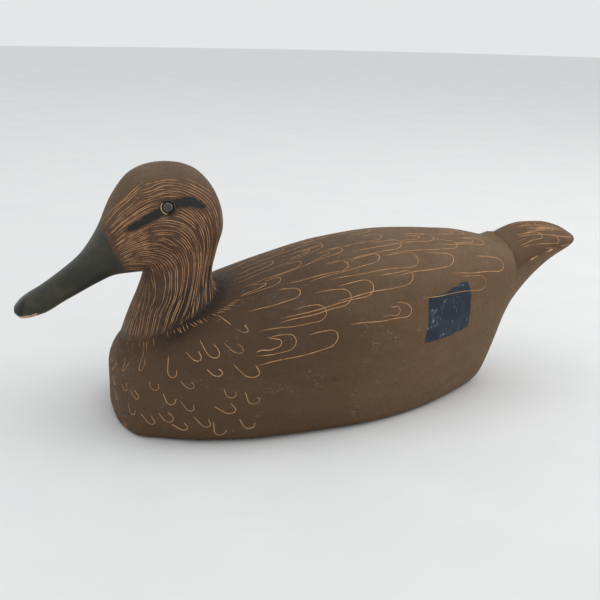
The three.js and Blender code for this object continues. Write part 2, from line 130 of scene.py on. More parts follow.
def slowing(low: float, length: float, count: int) -> np.ndarray:
    """Stations that start closely spaced at low and open out over a length."""
    return low + length * (1 - np.cos(np.linspace(0, math.pi / 2, count)))


def eased(low: float, length: float, count: int) -> np.ndarray:
    """Stations over a length that are closely spaced at both of its ends."""
    return low + length * (1 - np.cos(np.linspace(0, math.pi, count))) / 2


def quarter(power: float, count: int) -> np.ndarray:
    """Points on a quarter of a superellipse from (0, 1) to (1, 0), boxier as its power rises over 2."""
    a = np.linspace(0, math.pi / 2, count + 1)
    return np.stack([np.sin(a) ** (2 / power), np.cos(a).clip(0) ** (2 / power)], axis=1)


def mirrored(x: float, half: np.ndarray) -> np.ndarray:
    """A whole ring of points from the (half width, height) pairs of its left half, top to bottom."""
    left = np.column_stack([np.full(len(half), x), -half[:, 0], half[:, 1]])
    return np.vstack([left, left[::-1] * [1, -1, 1]])


def flowing(points: np.ndarray, at: float) -> np.ndarray:
    """Read a list of points or of whole rows of points as a smooth curve.

    Args:
        points: The rows to run through, evenly spaced in at.
        at: Place along the rows, from 0 to 1.

    Returns:
        The row at that place.
    """
    last = len(points) - 1
    u = min(max(at, 0.0), 1.0) * last
    i = min(int(u), last - 1)
    t = u - i
    before = points[i - 1] if i else 2 * points[0] - points[1]
    after = points[i + 2] if i + 2 <= last else 2 * points[last] - points[last - 1]
    a, b = points[i], points[i + 1]
    return a + 0.5 * t * (b - before + t * (2 * before - 5 * a + 4 * b - after + t * (3 * (a - b) + after - before)))


# ---- mesh tools ----
@dataclass
class Shell:
    """Vertices in millimetres and faces that close one or more bodies."""

    points: np.ndarray
    faces: list[tuple[int, ...]]

    def __add__(self, other: "Shell") -> "Shell":
        """Put two shells side by side in one."""
        moved = [tuple(i + len(self.points) for i in face) for face in other.faces]
        return Shell(np.vstack([self.points, other.points]), self.faces + moved)

    def mesh_object(self, name: str) -> Object:
        """Make a linked mesh object, with its faces turned outward.

        Args:
            name: Name of the object.

        Returns:
            The new object.
        """
        mesh = bpy.data.meshes.new(name)
        mesh.from_pydata((self.points * MM).tolist(), [], self.faces)
        mesh.update()
        made = bpy.data.objects.new(name, mesh)
        bpy.context.scene.collection.objects.link(made)
        if signed_volume(mesh) < 0:
            mesh.flip_normals()
        return made


def signed_volume(mesh: Mesh) -> float:
    """Measure the volume inside a closed mesh.

    Args:
        mesh: The mesh.

    Returns:
        Cubic metres, negative when the faces look inward.
    """
    mesh.calc_loop_triangles()
    co = positions(mesh)
    tri = np.zeros(len(mesh.loop_triangles) * 3, np.int32)
    mesh.loop_triangles.foreach_get("vertices", tri)
    a, b, c = co[tri.reshape(-1, 3)].transpose(1, 0, 2)
    return float(np.einsum("ij,ij->i", a, np.cross(b, c)).sum() / 6)


def positions(mesh: Mesh) -> np.ndarray:
    """Read the vertex positions of a mesh.

    Args:
        mesh: The mesh.

    Returns:
        One row for each vertex, in metres.
    """
    co = np.zeros(len(mesh.vertices) * 3)
    mesh.vertices.foreach_get("co", co)
    return co.reshape(-1, 3)


def loft(rings: Sequence[np.ndarray]) -> Shell:
    """Skin a closed body over rings of points.

    Args:
        rings: The rings, each with the same number of points.

    Returns:
        The shell, with one flat face at each end.
    """
    count, last = len(rings[0]), len(rings) - 1
    faces: list[tuple[int, ...]] = []
    for r in range(last):
        for i in range(count):
            j = (i + 1) % count
            faces.append((r * count + i, r * count + j, (r + 1) * count + j, (r + 1) * count + i))
    faces.append(tuple(range(count))[::-1])
    faces.append(tuple(range(last * count, (last + 1) * count)))
    return Shell(np.vstack(rings), faces)


def block(low: Sequence[float], high: Sequence[float]) -> Shell:
    """A box between its lowest and its highest corner, used only to cut with."""
    (x0, y0, z0), (x1, y1, z1) = low, high
    return loft([np.array([[x, y0, z0], [x, y1, z0], [x, y1, z1], [x, y0, z1]]) for x in (x0, x1)])


def lathe(profile: Sequence[tuple[float, float]], sides: int, origin: np.ndarray, axis: Sequence[float]) -> Shell:
    """Turn a closed profile about an axis.

    Args:
        profile: (radius, height) pairs; the first and last lie on the axis, or all lie off it and form a loop.
        sides: Number of segments round the axis.
        origin: A point on the axis, at height 0.
        axis: Direction of rising height.

    Returns:
        The turned shell.
    """
    turn = np.array(Vector(axis).normalized().to_track_quat("Z", "Y").to_matrix())
    solid = profile[0][0] == 0
    inner = list(profile[1:-1]) if solid else list(profile)
    points, faces = [], []
    for radius, height in inner:
        for k in range(sides):
            a = 2 * math.pi * k / sides
            points.append((radius * math.cos(a), radius * math.sin(a), height))
    rows = len(inner)
    for r in range(rows if not solid else rows - 1):
        for k in range(sides):
            n, s = (k + 1) % sides, (r + 1) % rows
            faces.append((r * sides + k, r * sides + n, s * sides + n, s * sides + k))
    if solid:
        for row, (_, height) in ((0, profile[0]), (rows - 1, profile[-1])):
            points.append((0.0, 0.0, height))
            for k in range(sides):
                edge = (row * sides + k, row * sides + (k + 1) % sides)
                faces.append((len(points) - 1, *(edge if row else edge[::-1])))
    return Shell(np.array(points) @ turn.T + np.asarray(origin, float), faces)


def rod(radius: float, low: float, high: float, sides: int, origin: np.ndarray, axis: Sequence[float]) -> Shell:
    """A plain round bar between two heights along an axis."""
    return lathe([(0, low), (radius, low), (radius, high), (0, high)], sides, origin, axis)


def wire(path: np.ndarray, radius: float) -> Shell:
    """A round wire along a path that lies in a plane or bends gently.

    Args:
        path: Points along the wire.
        radius: Radius of the wire.

    Returns:
        The wire, with flat ends.
    """
    along = np.gradient(path, axis=0)
    along /= np.linalg.norm(along, axis=1)[:, None]
    side = np.cross(along, [0.0, 1.0, 0.0])
    side /= np.linalg.norm(side, axis=1)[:, None]
    up = np.cross(side, along)
    a = np.linspace(0, 2 * math.pi, 14, endpoint=False)
    rings = path[:, None] + radius * (np.cos(a)[:, None] * side[:, None] + np.sin(a)[:, None] * up[:, None])
    return loft(list(rings))


def settle(piece: Object) -> None:
    """Make a piece's modifiers part of its mesh.

    Args:
        piece: The object, whose old mesh is dropped.
    """
    bpy.context.view_layer.update()
    shaped = piece.evaluated_get(bpy.context.evaluated_depsgraph_get())
    old, new = piece.data, bpy.data.meshes.new_from_object(shaped)
    piece.modifiers.clear()
    piece.data = new
    bpy.data.meshes.remove(old)
    new.name = piece.name


def fuse(piece: Object, grain: float) -> None:
    """Melt overlapping bodies into one even skin.

    Args:
        piece: The object with the overlapping bodies.
        grain: Size of the new faces in millimetres.
    """
    remesh = piece.modifiers.new("skin", "REMESH")
    remesh.mode, remesh.voxel_size, remesh.adaptivity = "VOXEL", grain * MM, 0.0
    settle(piece)


def sand(piece: Object, passes: int, share: np.ndarray | None = None) -> None:
    """Rub a surface smooth, all over or more in some places.

    Args:
        piece: The object to smooth.
        passes: Number of passes.
        share: How much each vertex is smoothed, from 0 to 1, or None for all alike.
    """
    smooth = piece.modifiers.new("sanding", "SMOOTH")
    smooth.factor, smooth.iterations = 0.5, passes
    if share is not None:
        group = piece.vertex_groups.new(name="sanding")
        levels = 10
        for level in range(1, levels + 1):
            chosen = np.flatnonzero(np.rint(share * levels) == level)
            group.add(chosen.tolist(), level / levels, "REPLACE")
        smooth.vertex_group = group.name
    settle(piece)
    piece.vertex_groups.clear()


def paint(piece: Object, finish: Material) -> None:
    """Give a piece one finish in place of any that it has."""
    piece.data.materials.clear()
    piece.data.materials.append(finish)


class Cut(Enum):
    """What a cutter does to the piece it meets."""

    AWAY = "DIFFERENCE"
    KEEP = "INTERSECT"
    JOIN = "UNION"


def carve(piece: Object, cutter: Shell | Object, how: Cut = Cut.AWAY) -> None:
    """Cut a piece with another body, which is used up.

    Args:
        piece: The object to cut.
        cutter: The body to cut with.
        how: Whether the cutter's inside is taken away or is all that stays.
    """
    tool = cutter.mesh_object("cutter") if isinstance(cutter, Shell) else cutter
    cut = piece.modifiers.new("cut", "BOOLEAN")
    cut.operation, cut.solver, cut.object = how.value, "MANIFOLD", tool
    settle(piece)
    bpy.data.objects.remove(tool)


def convexity(mesh: Mesh) -> np.ndarray:
    """How far each vertex stands out from its neighbours.

    Args:
        mesh: An evenly meshed surface.

    Returns:
        About 0 on flat ground, positive on edges and negative in creases.
    """
    co = positions(mesh)
    normals = np.zeros(len(co) * 3)
    mesh.vertices.foreach_get("normal", normals)
    edges = np.zeros(len(mesh.edges) * 2, np.int32)
    mesh.edges.foreach_get("vertices", edges)
    a, b = edges.reshape(-1, 2).T
    count = np.bincount(np.r_[a, b], minlength=len(co)).clip(1)

    def neighbours(values: np.ndarray) -> np.ndarray:
        """Mean of each vertex's neighbours."""
        total = np.bincount(a, values[b], len(co)) + np.bincount(b, values[a], len(co))
        return total / count

    around = np.stack([neighbours(co[:, k]) for k in range(3)], axis=1)
    length = np.linalg.norm(co[a] - co[b], axis=1).mean()
    found = np.einsum("ij,ij->i", co - around, normals.reshape(-1, 3)) / length
    for _ in range(2):
        found = (found + neighbours(found)) / 2
    return found


def note(mesh: Mesh, name: str, values: np.ndarray) -> None:
    """Write one number on every vertex, under a name that the finishes read."""
    layer = mesh.attributes.get(name) or mesh.attributes.new(name, "FLOAT", "POINT")
    layer.data.foreach_set("value", np.ascontiguousarray(values, np.float32))


def shade(piece: Object, angle: float = 35.0) -> None:
    """Shade a piece smooth but keep edges that turn by more than an angle crisp."""
    piece.data.polygons.foreach_set("use_smooth", np.ones(len(piece.data.polygons), bool))
    piece.data.set_sharp_from_angle(angle=math.radians(angle))


# ---- finishes ----
class Step(Enum):
    """One step of arithmetic on patterns."""

    PLUS = "ADD"
    MINUS = "SUBTRACT"
    TIMES = "MULTIPLY"
    TIMES_PLUS = "MULTIPLY_ADD"
    LARGER = "MAXIMUM"


class Blend(Enum):
    """What is blended: the data type of its node, its three inputs and its output."""

    COLOURS = ("RGBA", (0, 6, 7), 2)
    NUMBERS = ("FLOAT", (0, 2, 3), 0)


class Recipe:
    """A material being mixed: one principled shader and the patterns that feed it."""

    def __init__(self, name: str) -> None:
        """Start an empty material.

        Args:
            name: Name of the material.
        """
        self.material = bpy.data.materials.new(name)
        self.material.use_nodes = True
        self.tree = self.material.node_tree
        self.tree.nodes.clear()
        self.shader = self.add("ShaderNodeBsdfPrincipled")
        output = self.add("ShaderNodeOutputMaterial")
        self.tree.links.new(self.shader.outputs[0], output.inputs["Surface"])
        self.place = self.add("ShaderNodeTexCoord").outputs["Object"]

    def add(self, kind: str, **settings: object) -> Node:
        """Add a node.

        Args:
            kind: Type of the node.
            **settings: Its plain properties.

        Returns:
            The node.
        """
        made = self.tree.nodes.new(kind)
        for name, value in settings.items():
            setattr(made, name, value)
        return made

    def feed(self, socket: Socket, value: Value) -> None:
        """Link a socket to a pattern, or set it to an even value.

        Args:
            socket: The input to fill.
            value: A pattern, a number or a colour.
        """
        if isinstance(value, Socket):
            self.tree.links.new(value, socket)
        elif isinstance(value, tuple) and len(value) == 3 and socket.type == "RGBA":
            socket.default_value = (*value, 1.0)
        else:
            socket.default_value = value

    def noise(
        self, size: float, detail: float = 3.0, rough: float = 0.55, stretch: Colour = (1, 1, 1), warp: float = 0.0
    ) -> Socket:
        """A cloudy pattern.

        Args:
            size: Size of its largest features in millimetres.
            detail: Octaves of finer features.
            rough: How strong the finer features are.
            stretch: Squeezing along each axis; below 1 draws features out.
            warp: How much the pattern bends itself.

        Returns:
            A value round 0.5.
        """
        made = self.add("ShaderNodeTexNoise")
        for name, value in (("Scale", 1000.0 / size), ("Detail", detail), ("Roughness", rough), ("Distortion", warp)):
            made.inputs[name].default_value = value
        place = self.place
        if stretch != (1, 1, 1):
            mapping = self.add("ShaderNodeMapping")
            mapping.inputs["Scale"].default_value = stretch
            self.feed(mapping.inputs["Vector"], place)
            place = mapping.outputs[0]
        self.feed(made.inputs["Vector"], place)
        return made.outputs[0]

    def noted(self, name: str) -> Socket:
        """A number written on the vertices."""
        return self.add("ShaderNodeAttribute", attribute_type="GEOMETRY", attribute_name=name).outputs["Fac"]

    def upward(self) -> Socket:
        """Measure how far the surface looks up.

        Returns:
            -1 straight down to 1 straight up.
        """
        split = self.add("ShaderNodeSeparateXYZ")
        self.feed(split.inputs[0], self.add("ShaderNodeNewGeometry").outputs["Normal"])
        return split.outputs["Z"]

    def work_out(self, step: Step, a: Value, b: Value = 0.0, c: Value = 0.0) -> Socket:
        """Combine numbers with one step of arithmetic.

        Args:
            step: The step.
            a: First number.
            b: Second number.
            c: Third number, where the step needs it.

        Returns:
            The result.
        """
        made = self.add("ShaderNodeMath", operation=step.value)
        for socket, value in zip(made.inputs, (a, b, c)):
            self.feed(socket, value)
        return made.outputs[0]

    def plus(self, a: Value, b: Value) -> Socket:
        """Add two numbers."""
        return self.work_out(Step.PLUS, a, b)

    def minus(self, a: Value, b: Value) -> Socket:
        """Take b from a."""
        return self.work_out(Step.MINUS, a, b)

    def times(self, a: Value, b: Value) -> Socket:
        """Multiply two numbers."""
        return self.work_out(Step.TIMES, a, b)

    def times_plus(self, a: Value, b: Value, c: Value) -> Socket:
        """Multiply a by b and add c."""
        return self.work_out(Step.TIMES_PLUS, a, b, c)

    def band(self, value: Value, low: float, high: float, floor: float = 0.0, top: float = 1.0) -> Socket:
        """Make a soft step.

        Args:
            value: The number that the step follows.
            low: Where the step starts.
            high: Where the step ends.
            floor: The result below the step.
            top: The result above the step.

        Returns:
            The result.
        """
        made = self.add("ShaderNodeMapRange", interpolation_type="SMOOTHSTEP")
        for socket, given in zip(made.inputs[:5], (value, low, high, floor, top)):
            self.feed(socket, given)
        return made.outputs[0]

    def mix(self, share: Value, a: Value, b: Value, of: Blend = Blend.COLOURS) -> Socket:
        """Blend two colours or two numbers.

        Args:
            share: How much of the second there is.
            a: The first.
            b: The second.
            of: What they are.

        Returns:
            The blend.
        """
        kind, inputs, output = of.value
        made = self.add("ShaderNodeMix", data_type=kind)
        for place, value in zip(inputs, (share, a, b)):
            self.feed(made.inputs[place], value)
        return made.outputs[output]

    def blend(self, share: Value, a: Value, b: Value) -> Socket:
        """Blend from number a to number b."""
        return self.mix(share, a, b, Blend.NUMBERS)

    def bump(self, height: Value, depth: float, under: Socket | None = None) -> Socket:
        """Raise the surface by a pattern.

        Args:
            height: The pattern.
            depth: Millimetres of height between its 0 and 1.
            under: Another bump that lies beneath this one.

        Returns:
            The bent normal.
        """
        made = self.add("ShaderNodeBump")
        made.inputs["Distance"].default_value = depth * MM
        self.feed(made.inputs["Height"], height)
        if under is not None:
            self.feed(made.inputs["Normal"], under)
        return made.outputs[0]

    def finish(
        self, colour: Value, roughness: Value, normal: Socket | None = None, **fixed: float
    ) -> Material:
        """Wire up the shader.

        Args:
            colour: Base colour.
            roughness: Roughness.
            normal: Bent normal, if the surface has relief.
            **fixed: Even values for other sockets, their names with underscores for spaces.

        Returns:
            The finished material.
        """
        self.feed(self.shader.inputs["Base Color"], colour)
        self.feed(self.shader.inputs["Roughness"], roughness)
        if normal is not None:
            self.feed(self.shader.inputs["Normal"], normal)
        for name, value in fixed.items():
            self.feed(self.shader.inputs[name.replace("_", " ").title().replace("Ior", "IOR")], value)
        return self.material


@dataclass(frozen=True)
class DecoyPaint:
    """Flat brown gunning paint over wood: cloudy, dusty on top, scuffed, and chipped along the edges."""

    name: str
    brown: Colour = (0.128, 0.074, 0.037)
    deep: Colour = (0.06, 0.032, 0.017)
    pale: Colour = (0.16, 0.102, 0.054)
    dust: Colour = (0.24, 0.18, 0.112)
    dust_cover: float = 0.34
    scuff: Colour = (0.36, 0.315, 0.26)
    scuff_cover: float = 0.62
    fleck: Colour = (0.47, 0.4, 0.3)
    fleck_cover: float = 0.55
    wood: Colour = (0.66, 0.42, 0.22)
    wood_grain: Colour = (0.36, 0.19, 0.085)
    # Colour of the painted shadow in the creases, under the lip and under the chin.
    crease_shadow: Colour = (0.016, 0.011, 0.008)
    chip_reach: float = 0.5
    chip_edge: float = 0.05

    def ground(self, mixed: Recipe) -> Socket:
        """Lay the brown coat, darkened by painted shade where it is noted, before wear.

        Args:
            mixed: The material being mixed.

        Returns:
            Its colour.
        """
        clouds = mixed.noise(60, 3, 0.6)
        brushing = mixed.noise(13, 4, 0.6, stretch=(0.16, 1, 1), warp=0.3)
        speckle = mixed.noise(1.9, 4, 0.75)
        tone = mixed.times_plus(clouds, 0.34, mixed.times(brushing, 0.33))
        tone = mixed.times_plus(speckle, 0.33, tone)
        coat = mixed.mix(mixed.band(tone, 0.34, 0.5, 0.45, 1.0), self.deep, self.brown)
        coat = mixed.mix(mixed.band(tone, 0.5, 0.62, 0, 0.6), coat, self.pale)
        # Painted shade: the noted shade value darkens the coat toward the deep brown.
        return mixed.mix(mixed.noted("shade"), coat, self.deep)

    def aged(self, mixed: Recipe, coat: Value, sound: Value) -> Socket:
        """Let dust settle on what looks up, and rub fibrous pale scuffs and small flecks into the paint.

        Args:
            mixed: The material being mixed.
            coat: Colour of the paint.
            sound: Where dust can hold.

        Returns:
            The aged colour.
        """
        up = mixed.band(mixed.upward(), 0.2, 1.0)
        settled = mixed.band(mixed.noise(26, 4, 0.7), 0.3, 0.72, 0.3, 1.0)
        dusty = mixed.times(mixed.times(up, settled), sound)
        # Painted shade also holds the dust back, so the shaded places stay dark.
        dusty = mixed.times(dusty, mixed.band(mixed.noted("shade"), 0.1, 0.7, 1.0, 0.25))
        coat = mixed.mix(mixed.times(dusty, self.dust_cover), coat, self.dust)
        blotch = mixed.band(mixed.noise(17, 3, 0.6), 0.54, 0.68)
        fibre = mixed.band(mixed.noise(1.6, 5, 0.85, stretch=(0.5, 1, 1)), 0.54, 0.68)
        scuffs = mixed.times(mixed.times(blotch, fibre), self.scuff_cover)
        coat = mixed.mix(mixed.times(scuffs, sound), coat, self.scuff)
        flecks = mixed.times(mixed.band(mixed.noise(3.6, 3, 0.7), 0.73, 0.76), sound)
        return mixed.mix(mixed.times(flecks, self.fleck_cover), coat, self.fleck)

    def wear(self, mixed: Recipe, coat: Value, inside: Value) -> tuple[Socket, Socket]:
        """Add dust, scuffs, painted shadow in the creases and chips down to the wood.

        Args:
            mixed: The material being mixed.
            coat: Colour of the sound paint.
            inside: Where a darker, harder coat lies on top, which holds no dust.

        Returns:
            The worn colour, and where the paint is chipped away.
        """
        coat = self.aged(mixed, coat, mixed.minus(1.0, inside))
        # Painted shadow in the creases, under the lip and under the chin.
        coat = mixed.mix(mixed.noted("crease"), coat, self.crease_shadow)
        edge = mixed.times_plus(mixed.noise(9, 5, 0.7), 1.5, mixed.noted("edge"))
        start = 1.32 + self.chip_reach
        chips = mixed.band(edge, start, start + self.chip_edge)
        grain = mixed.mix(mixed.noise(1.2, 4, 0.6, stretch=(0.15, 1, 1)), self.wood, self.wood_grain)
        return mixed.mix(chips, coat, grain), chips

    def relief(self, mixed: Recipe, chips: Socket) -> Socket:
        """Raise brush marks, a dry chalky skin, dents and the step down into each chip.

        Args:
            mixed: The material being mixed.
            chips: Where the paint is chipped away.

        Returns:
            The bent normal.
        """
        strokes = mixed.bump(mixed.noise(3.2, 3, 0.6, stretch=(0.12, 1, 1)), 0.16)
        chalk = mixed.bump(mixed.noise(0.9, 4, 0.7), 0.07, strokes)
        dents = mixed.bump(mixed.band(mixed.noise(26, 2, 0.5), 0.25, 0.4), 0.35, chalk)
        return mixed.bump(mixed.minus(1.0, chips), 0.22, dents)


@dataclass(frozen=True)
class BodyPaint(DecoyPaint):
    """The body's brown, with the blue-black wing patch and the redder tail."""

    patch: Colour = (0.014, 0.022, 0.036)
    patch_light: Colour = (0.026, 0.037, 0.052)
    patch_rubbed: Colour = (0.36, 0.4, 0.44)
    patch_edge: float = 0.25
    tail: Colour = (0.107, 0.056, 0.031)

    def blue(self, mixed: Recipe) -> Socket:
        """Mix the wing patch's own colour, rubbed pale in streaks.

        Args:
            mixed: The material being mixed.

        Returns:
            Its colour.
        """
        blue = mixed.mix(mixed.band(mixed.noise(11, 4, 0.65), 0.4, 0.7), self.patch, self.patch_light)
        patches = mixed.band(mixed.noise(10, 3, 0.6, warp=0.8), 0.52, 0.66)
        streaks = mixed.band(mixed.noise(1.6, 5, 0.85, stretch=(1, 1, 0.35), warp=0.5), 0.52, 0.62)
        return mixed.mix(mixed.times(mixed.times(patches, streaks), 0.85), blue, self.patch_rubbed)

    def build(self) -> Material:
        """Mix the finish.

        Returns:
            The material.
        """
        mixed = Recipe(self.name)
        # Painted light: the stern is lifted toward the pale brown.
        coat = mixed.mix(mixed.noted("painted_stern_light"), self.ground(mixed), self.pale)
        coat = mixed.mix(mixed.noted("tail"), coat, self.tail)
        wobble = mixed.minus(mixed.noise(5, 4, 0.6), 0.5)
        ragged = mixed.times_plus(wobble, 2.6, mixed.noted("patch"))
        inside = mixed.band(ragged, -self.patch_edge, self.patch_edge)
        coat, chips = self.wear(mixed, mixed.mix(inside, coat, self.blue(mixed)), inside)
        dull = mixed.blend(inside, mixed.band(mixed.noise(3, 3, 0.6), 0.3, 0.7, 0.62, 0.86), 0.5)
        return mixed.finish(coat, dull, self.relief(mixed, chips), specular_ior_level=0.22)


@dataclass(frozen=True)
class HeadPaint(DecoyPaint):
    """The head's brown, the olive bill with its dark nail, and the dark eye stripe."""

    combed: Colour = (0.078, 0.04, 0.023)
    combed_light: Colour = (0.118, 0.06, 0.032)
    olive: Colour = (0.05, 0.048, 0.031)
    olive_dark: Colour = (0.03, 0.031, 0.02)
    olive_worn: Colour = (0.095, 0.095, 0.068)
    nail: Colour = (0.014, 0.013, 0.012)
    stripe: Colour = (0.016, 0.017, 0.013)

    def green(self, mixed: Recipe) -> Socket:
        """Mix the bill's own colour."""
        green = mixed.mix(mixed.band(mixed.noise(20, 4, 0.65), 0.35, 0.65), self.olive_dark, self.olive)
        return mixed.mix(mixed.band(mixed.noise(1.6, 4, 0.7), 0.55, 0.72, 0, 0.3), green, self.olive_worn)

    def build(self) -> Material:
        """Mix the finish.

        Returns:
            The material.
        """
        mixed = Recipe(self.name)
        worked = mixed.mix(mixed.band(mixed.noise(3.5, 4, 0.7), 0.35, 0.7), self.combed, self.combed_light)
        coat = mixed.mix(mixed.noted("comb"), self.ground(mixed), worked)
        wobble = mixed.minus(mixed.noise(3.0, 4, 0.65), 0.5)
        stripe = mixed.band(mixed.times_plus(wobble, 4.6, mixed.noted("stripe")), -0.15, 0.2)
        bill = mixed.band(mixed.times_plus(wobble, 1.2, mixed.noted("bill")), -0.2, 0.2)
        nail = mixed.band(mixed.times_plus(wobble, 1.5, mixed.noted("nail")), -0.6, 0.8)
        coat = mixed.mix(stripe, mixed.mix(bill, coat, self.green(mixed)), self.stripe)
        clean = mixed.work_out(Step.LARGER, stripe, bill)
        coat, chips = self.wear(mixed, mixed.mix(nail, coat, self.nail), clean)
        dull = mixed.blend(bill, mixed.band(mixed.noise(3, 3, 0.6), 0.3, 0.7, 0.58, 0.84), 0.5)
        dull = mixed.blend(nail, mixed.blend(stripe, dull, 0.6), 0.34)
        return mixed.finish(coat, dull, self.relief(mixed, chips), specular_ior_level=0.3)


@dataclass(frozen=True)
class ScratchedWood:
    """Bare wood at the bottom of a scratch, with paint still clinging here and there."""

    name: str
    wood: Colour = (0.56, 0.32, 0.155)
    dark: Colour = (0.34, 0.175, 0.08)
    paint: Colour = (0.1, 0.058, 0.033)
    clinging: float = 0.5

    def build(self) -> Material:
        """Mix the finish.

        Returns:
            The material.
        """
        mixed = Recipe(self.name)
        fresh = mixed.mix(mixed.band(mixed.noise(7, 4, 0.65), 0.35, 0.68), self.dark, self.wood)
        bare = 0.66 - 0.2 * self.clinging
        left = mixed.band(mixed.noise(4.5, 4, 0.75), bare, 0.76 - 0.2 * self.clinging)
        relief = mixed.bump(mixed.noise(0.5, 3, 0.6), 0.06)
        return mixed.finish(mixed.mix(left, fresh, self.paint), mixed.band(left, 0, 1, 0.9, 0.7), relief)


@dataclass(frozen=True)
class BareWood:
    """Unpainted wood with its grain along X."""

    name: str
    light: Colour = (0.42, 0.26, 0.13)
    dark: Colour = (0.2, 0.11, 0.055)
    stain: Colour = (0.11, 0.075, 0.045)

    def build(self) -> Material:
        """Mix the finish.

        Returns:
            The material.
        """
        mixed = Recipe(self.name)
        rings = mixed.band(mixed.noise(5, 4, 0.6, stretch=(0.06, 1, 1), warp=0.4), 0.35, 0.65)
        pores = mixed.band(mixed.noise(0.9, 4, 0.7, stretch=(0.08, 1, 1)), 0.5, 0.75)
        stains = mixed.band(mixed.noise(45, 4, 0.65), 0.4, 0.7, 0, 0.5)
        colour = mixed.mix(rings, self.light, self.dark)
        colour = mixed.mix(mixed.times(pores, 0.6), colour, self.dark)
        colour = mixed.mix(stains, colour, self.stain)
        relief = mixed.bump(mixed.plus(rings, pores), 0.12)
        return mixed.finish(colour, mixed.band(rings, 0, 1, 0.72, 0.86), relief)


@dataclass(frozen=True)
class OldMetal:
    """Handled metal with dull spots, fine scratches and dark tarnish."""

    name: str
    bright: Colour
    tarnish: Colour
    smooth: float = 0.35
    share: float = 0.5

    def build(self) -> Material:
        """Mix the finish.

        Returns:
            The material.
        """
        mixed = Recipe(self.name)
        shift = 0.3 * self.share
        spots = mixed.band(mixed.noise(4, 5, 0.7), 0.62 - shift, 0.8 - shift)
        lines = mixed.noise(0.8, 3, 0.6, stretch=(0.2, 1, 1))
        colour = mixed.mix(spots, self.bright, self.tarnish)
        rough = mixed.band(mixed.times_plus(lines, 0.4, spots), 0.2, 1.2, self.smooth, self.smooth + 0.35)
        return mixed.finish(colour, rough, mixed.bump(mixed.plus(lines, spots), 0.05), metallic=1.0)


@dataclass(frozen=True)
class EyeGlass:
    """A dark brown glass eye, dulled a little by age."""

    name: str
    iris: Colour = (0.04, 0.032, 0.025)
    pupil: Colour = (0.015, 0.013, 0.011)
    cloud: Colour = (0.16, 0.14, 0.12)

    def build(self) -> Material:
        """Mix the finish.

        Returns:
            The material.
        """
        mixed = Recipe(self.name)
        depth = mixed.band(mixed.noted("rim"), 0.42, 0.6)
        colour = mixed.mix(depth, self.pupil, self.iris)
        colour = mixed.mix(mixed.band(mixed.noise(2.2, 3, 0.6), 0.5, 0.8, 0, 0.3), colour, self.cloud)
        bloom = mixed.band(mixed.noise(1.8, 4, 0.7), 0.4, 0.75, 0.06, 0.22)
        relief = mixed.bump(mixed.noise(1.2, 2, 0.5), 0.02)
        return mixed.finish(colour, bloom, relief, ior=1.5, specular_ior_level=0.75)


@dataclass(frozen=True)
class Putty:
    """Hard putty round the eye, rubbed pale on its crest and painted in its corners."""

    name: str
    crest: Colour = (0.46, 0.34, 0.21)
    paint: Colour = (0.024, 0.02, 0.015)

    def build(self) -> Material:
        """Mix the finish.

        Returns:
            The material.
        """
        mixed = Recipe(self.name)
        bare = mixed.times_plus(mixed.noise(2.5, 4, 0.7), 0.9, mixed.noted("bare"))
        colour = mixed.mix(mixed.band(bare, 0.95, 1.15), self.paint, self.crest)
        return mixed.finish(colour, mixed.band(bare, 0.4, 1.2, 0.6, 0.85), mixed.bump(mixed.noise(0.8, 4, 0.7), 0.1))


# ---- the carved pieces ----
@dataclass(frozen=True)
class Fixing:
    """A round dowel or screw that stands square on the neck's seat and runs into both blocks."""

    station: float
    radius: float
    below: float
    above: float


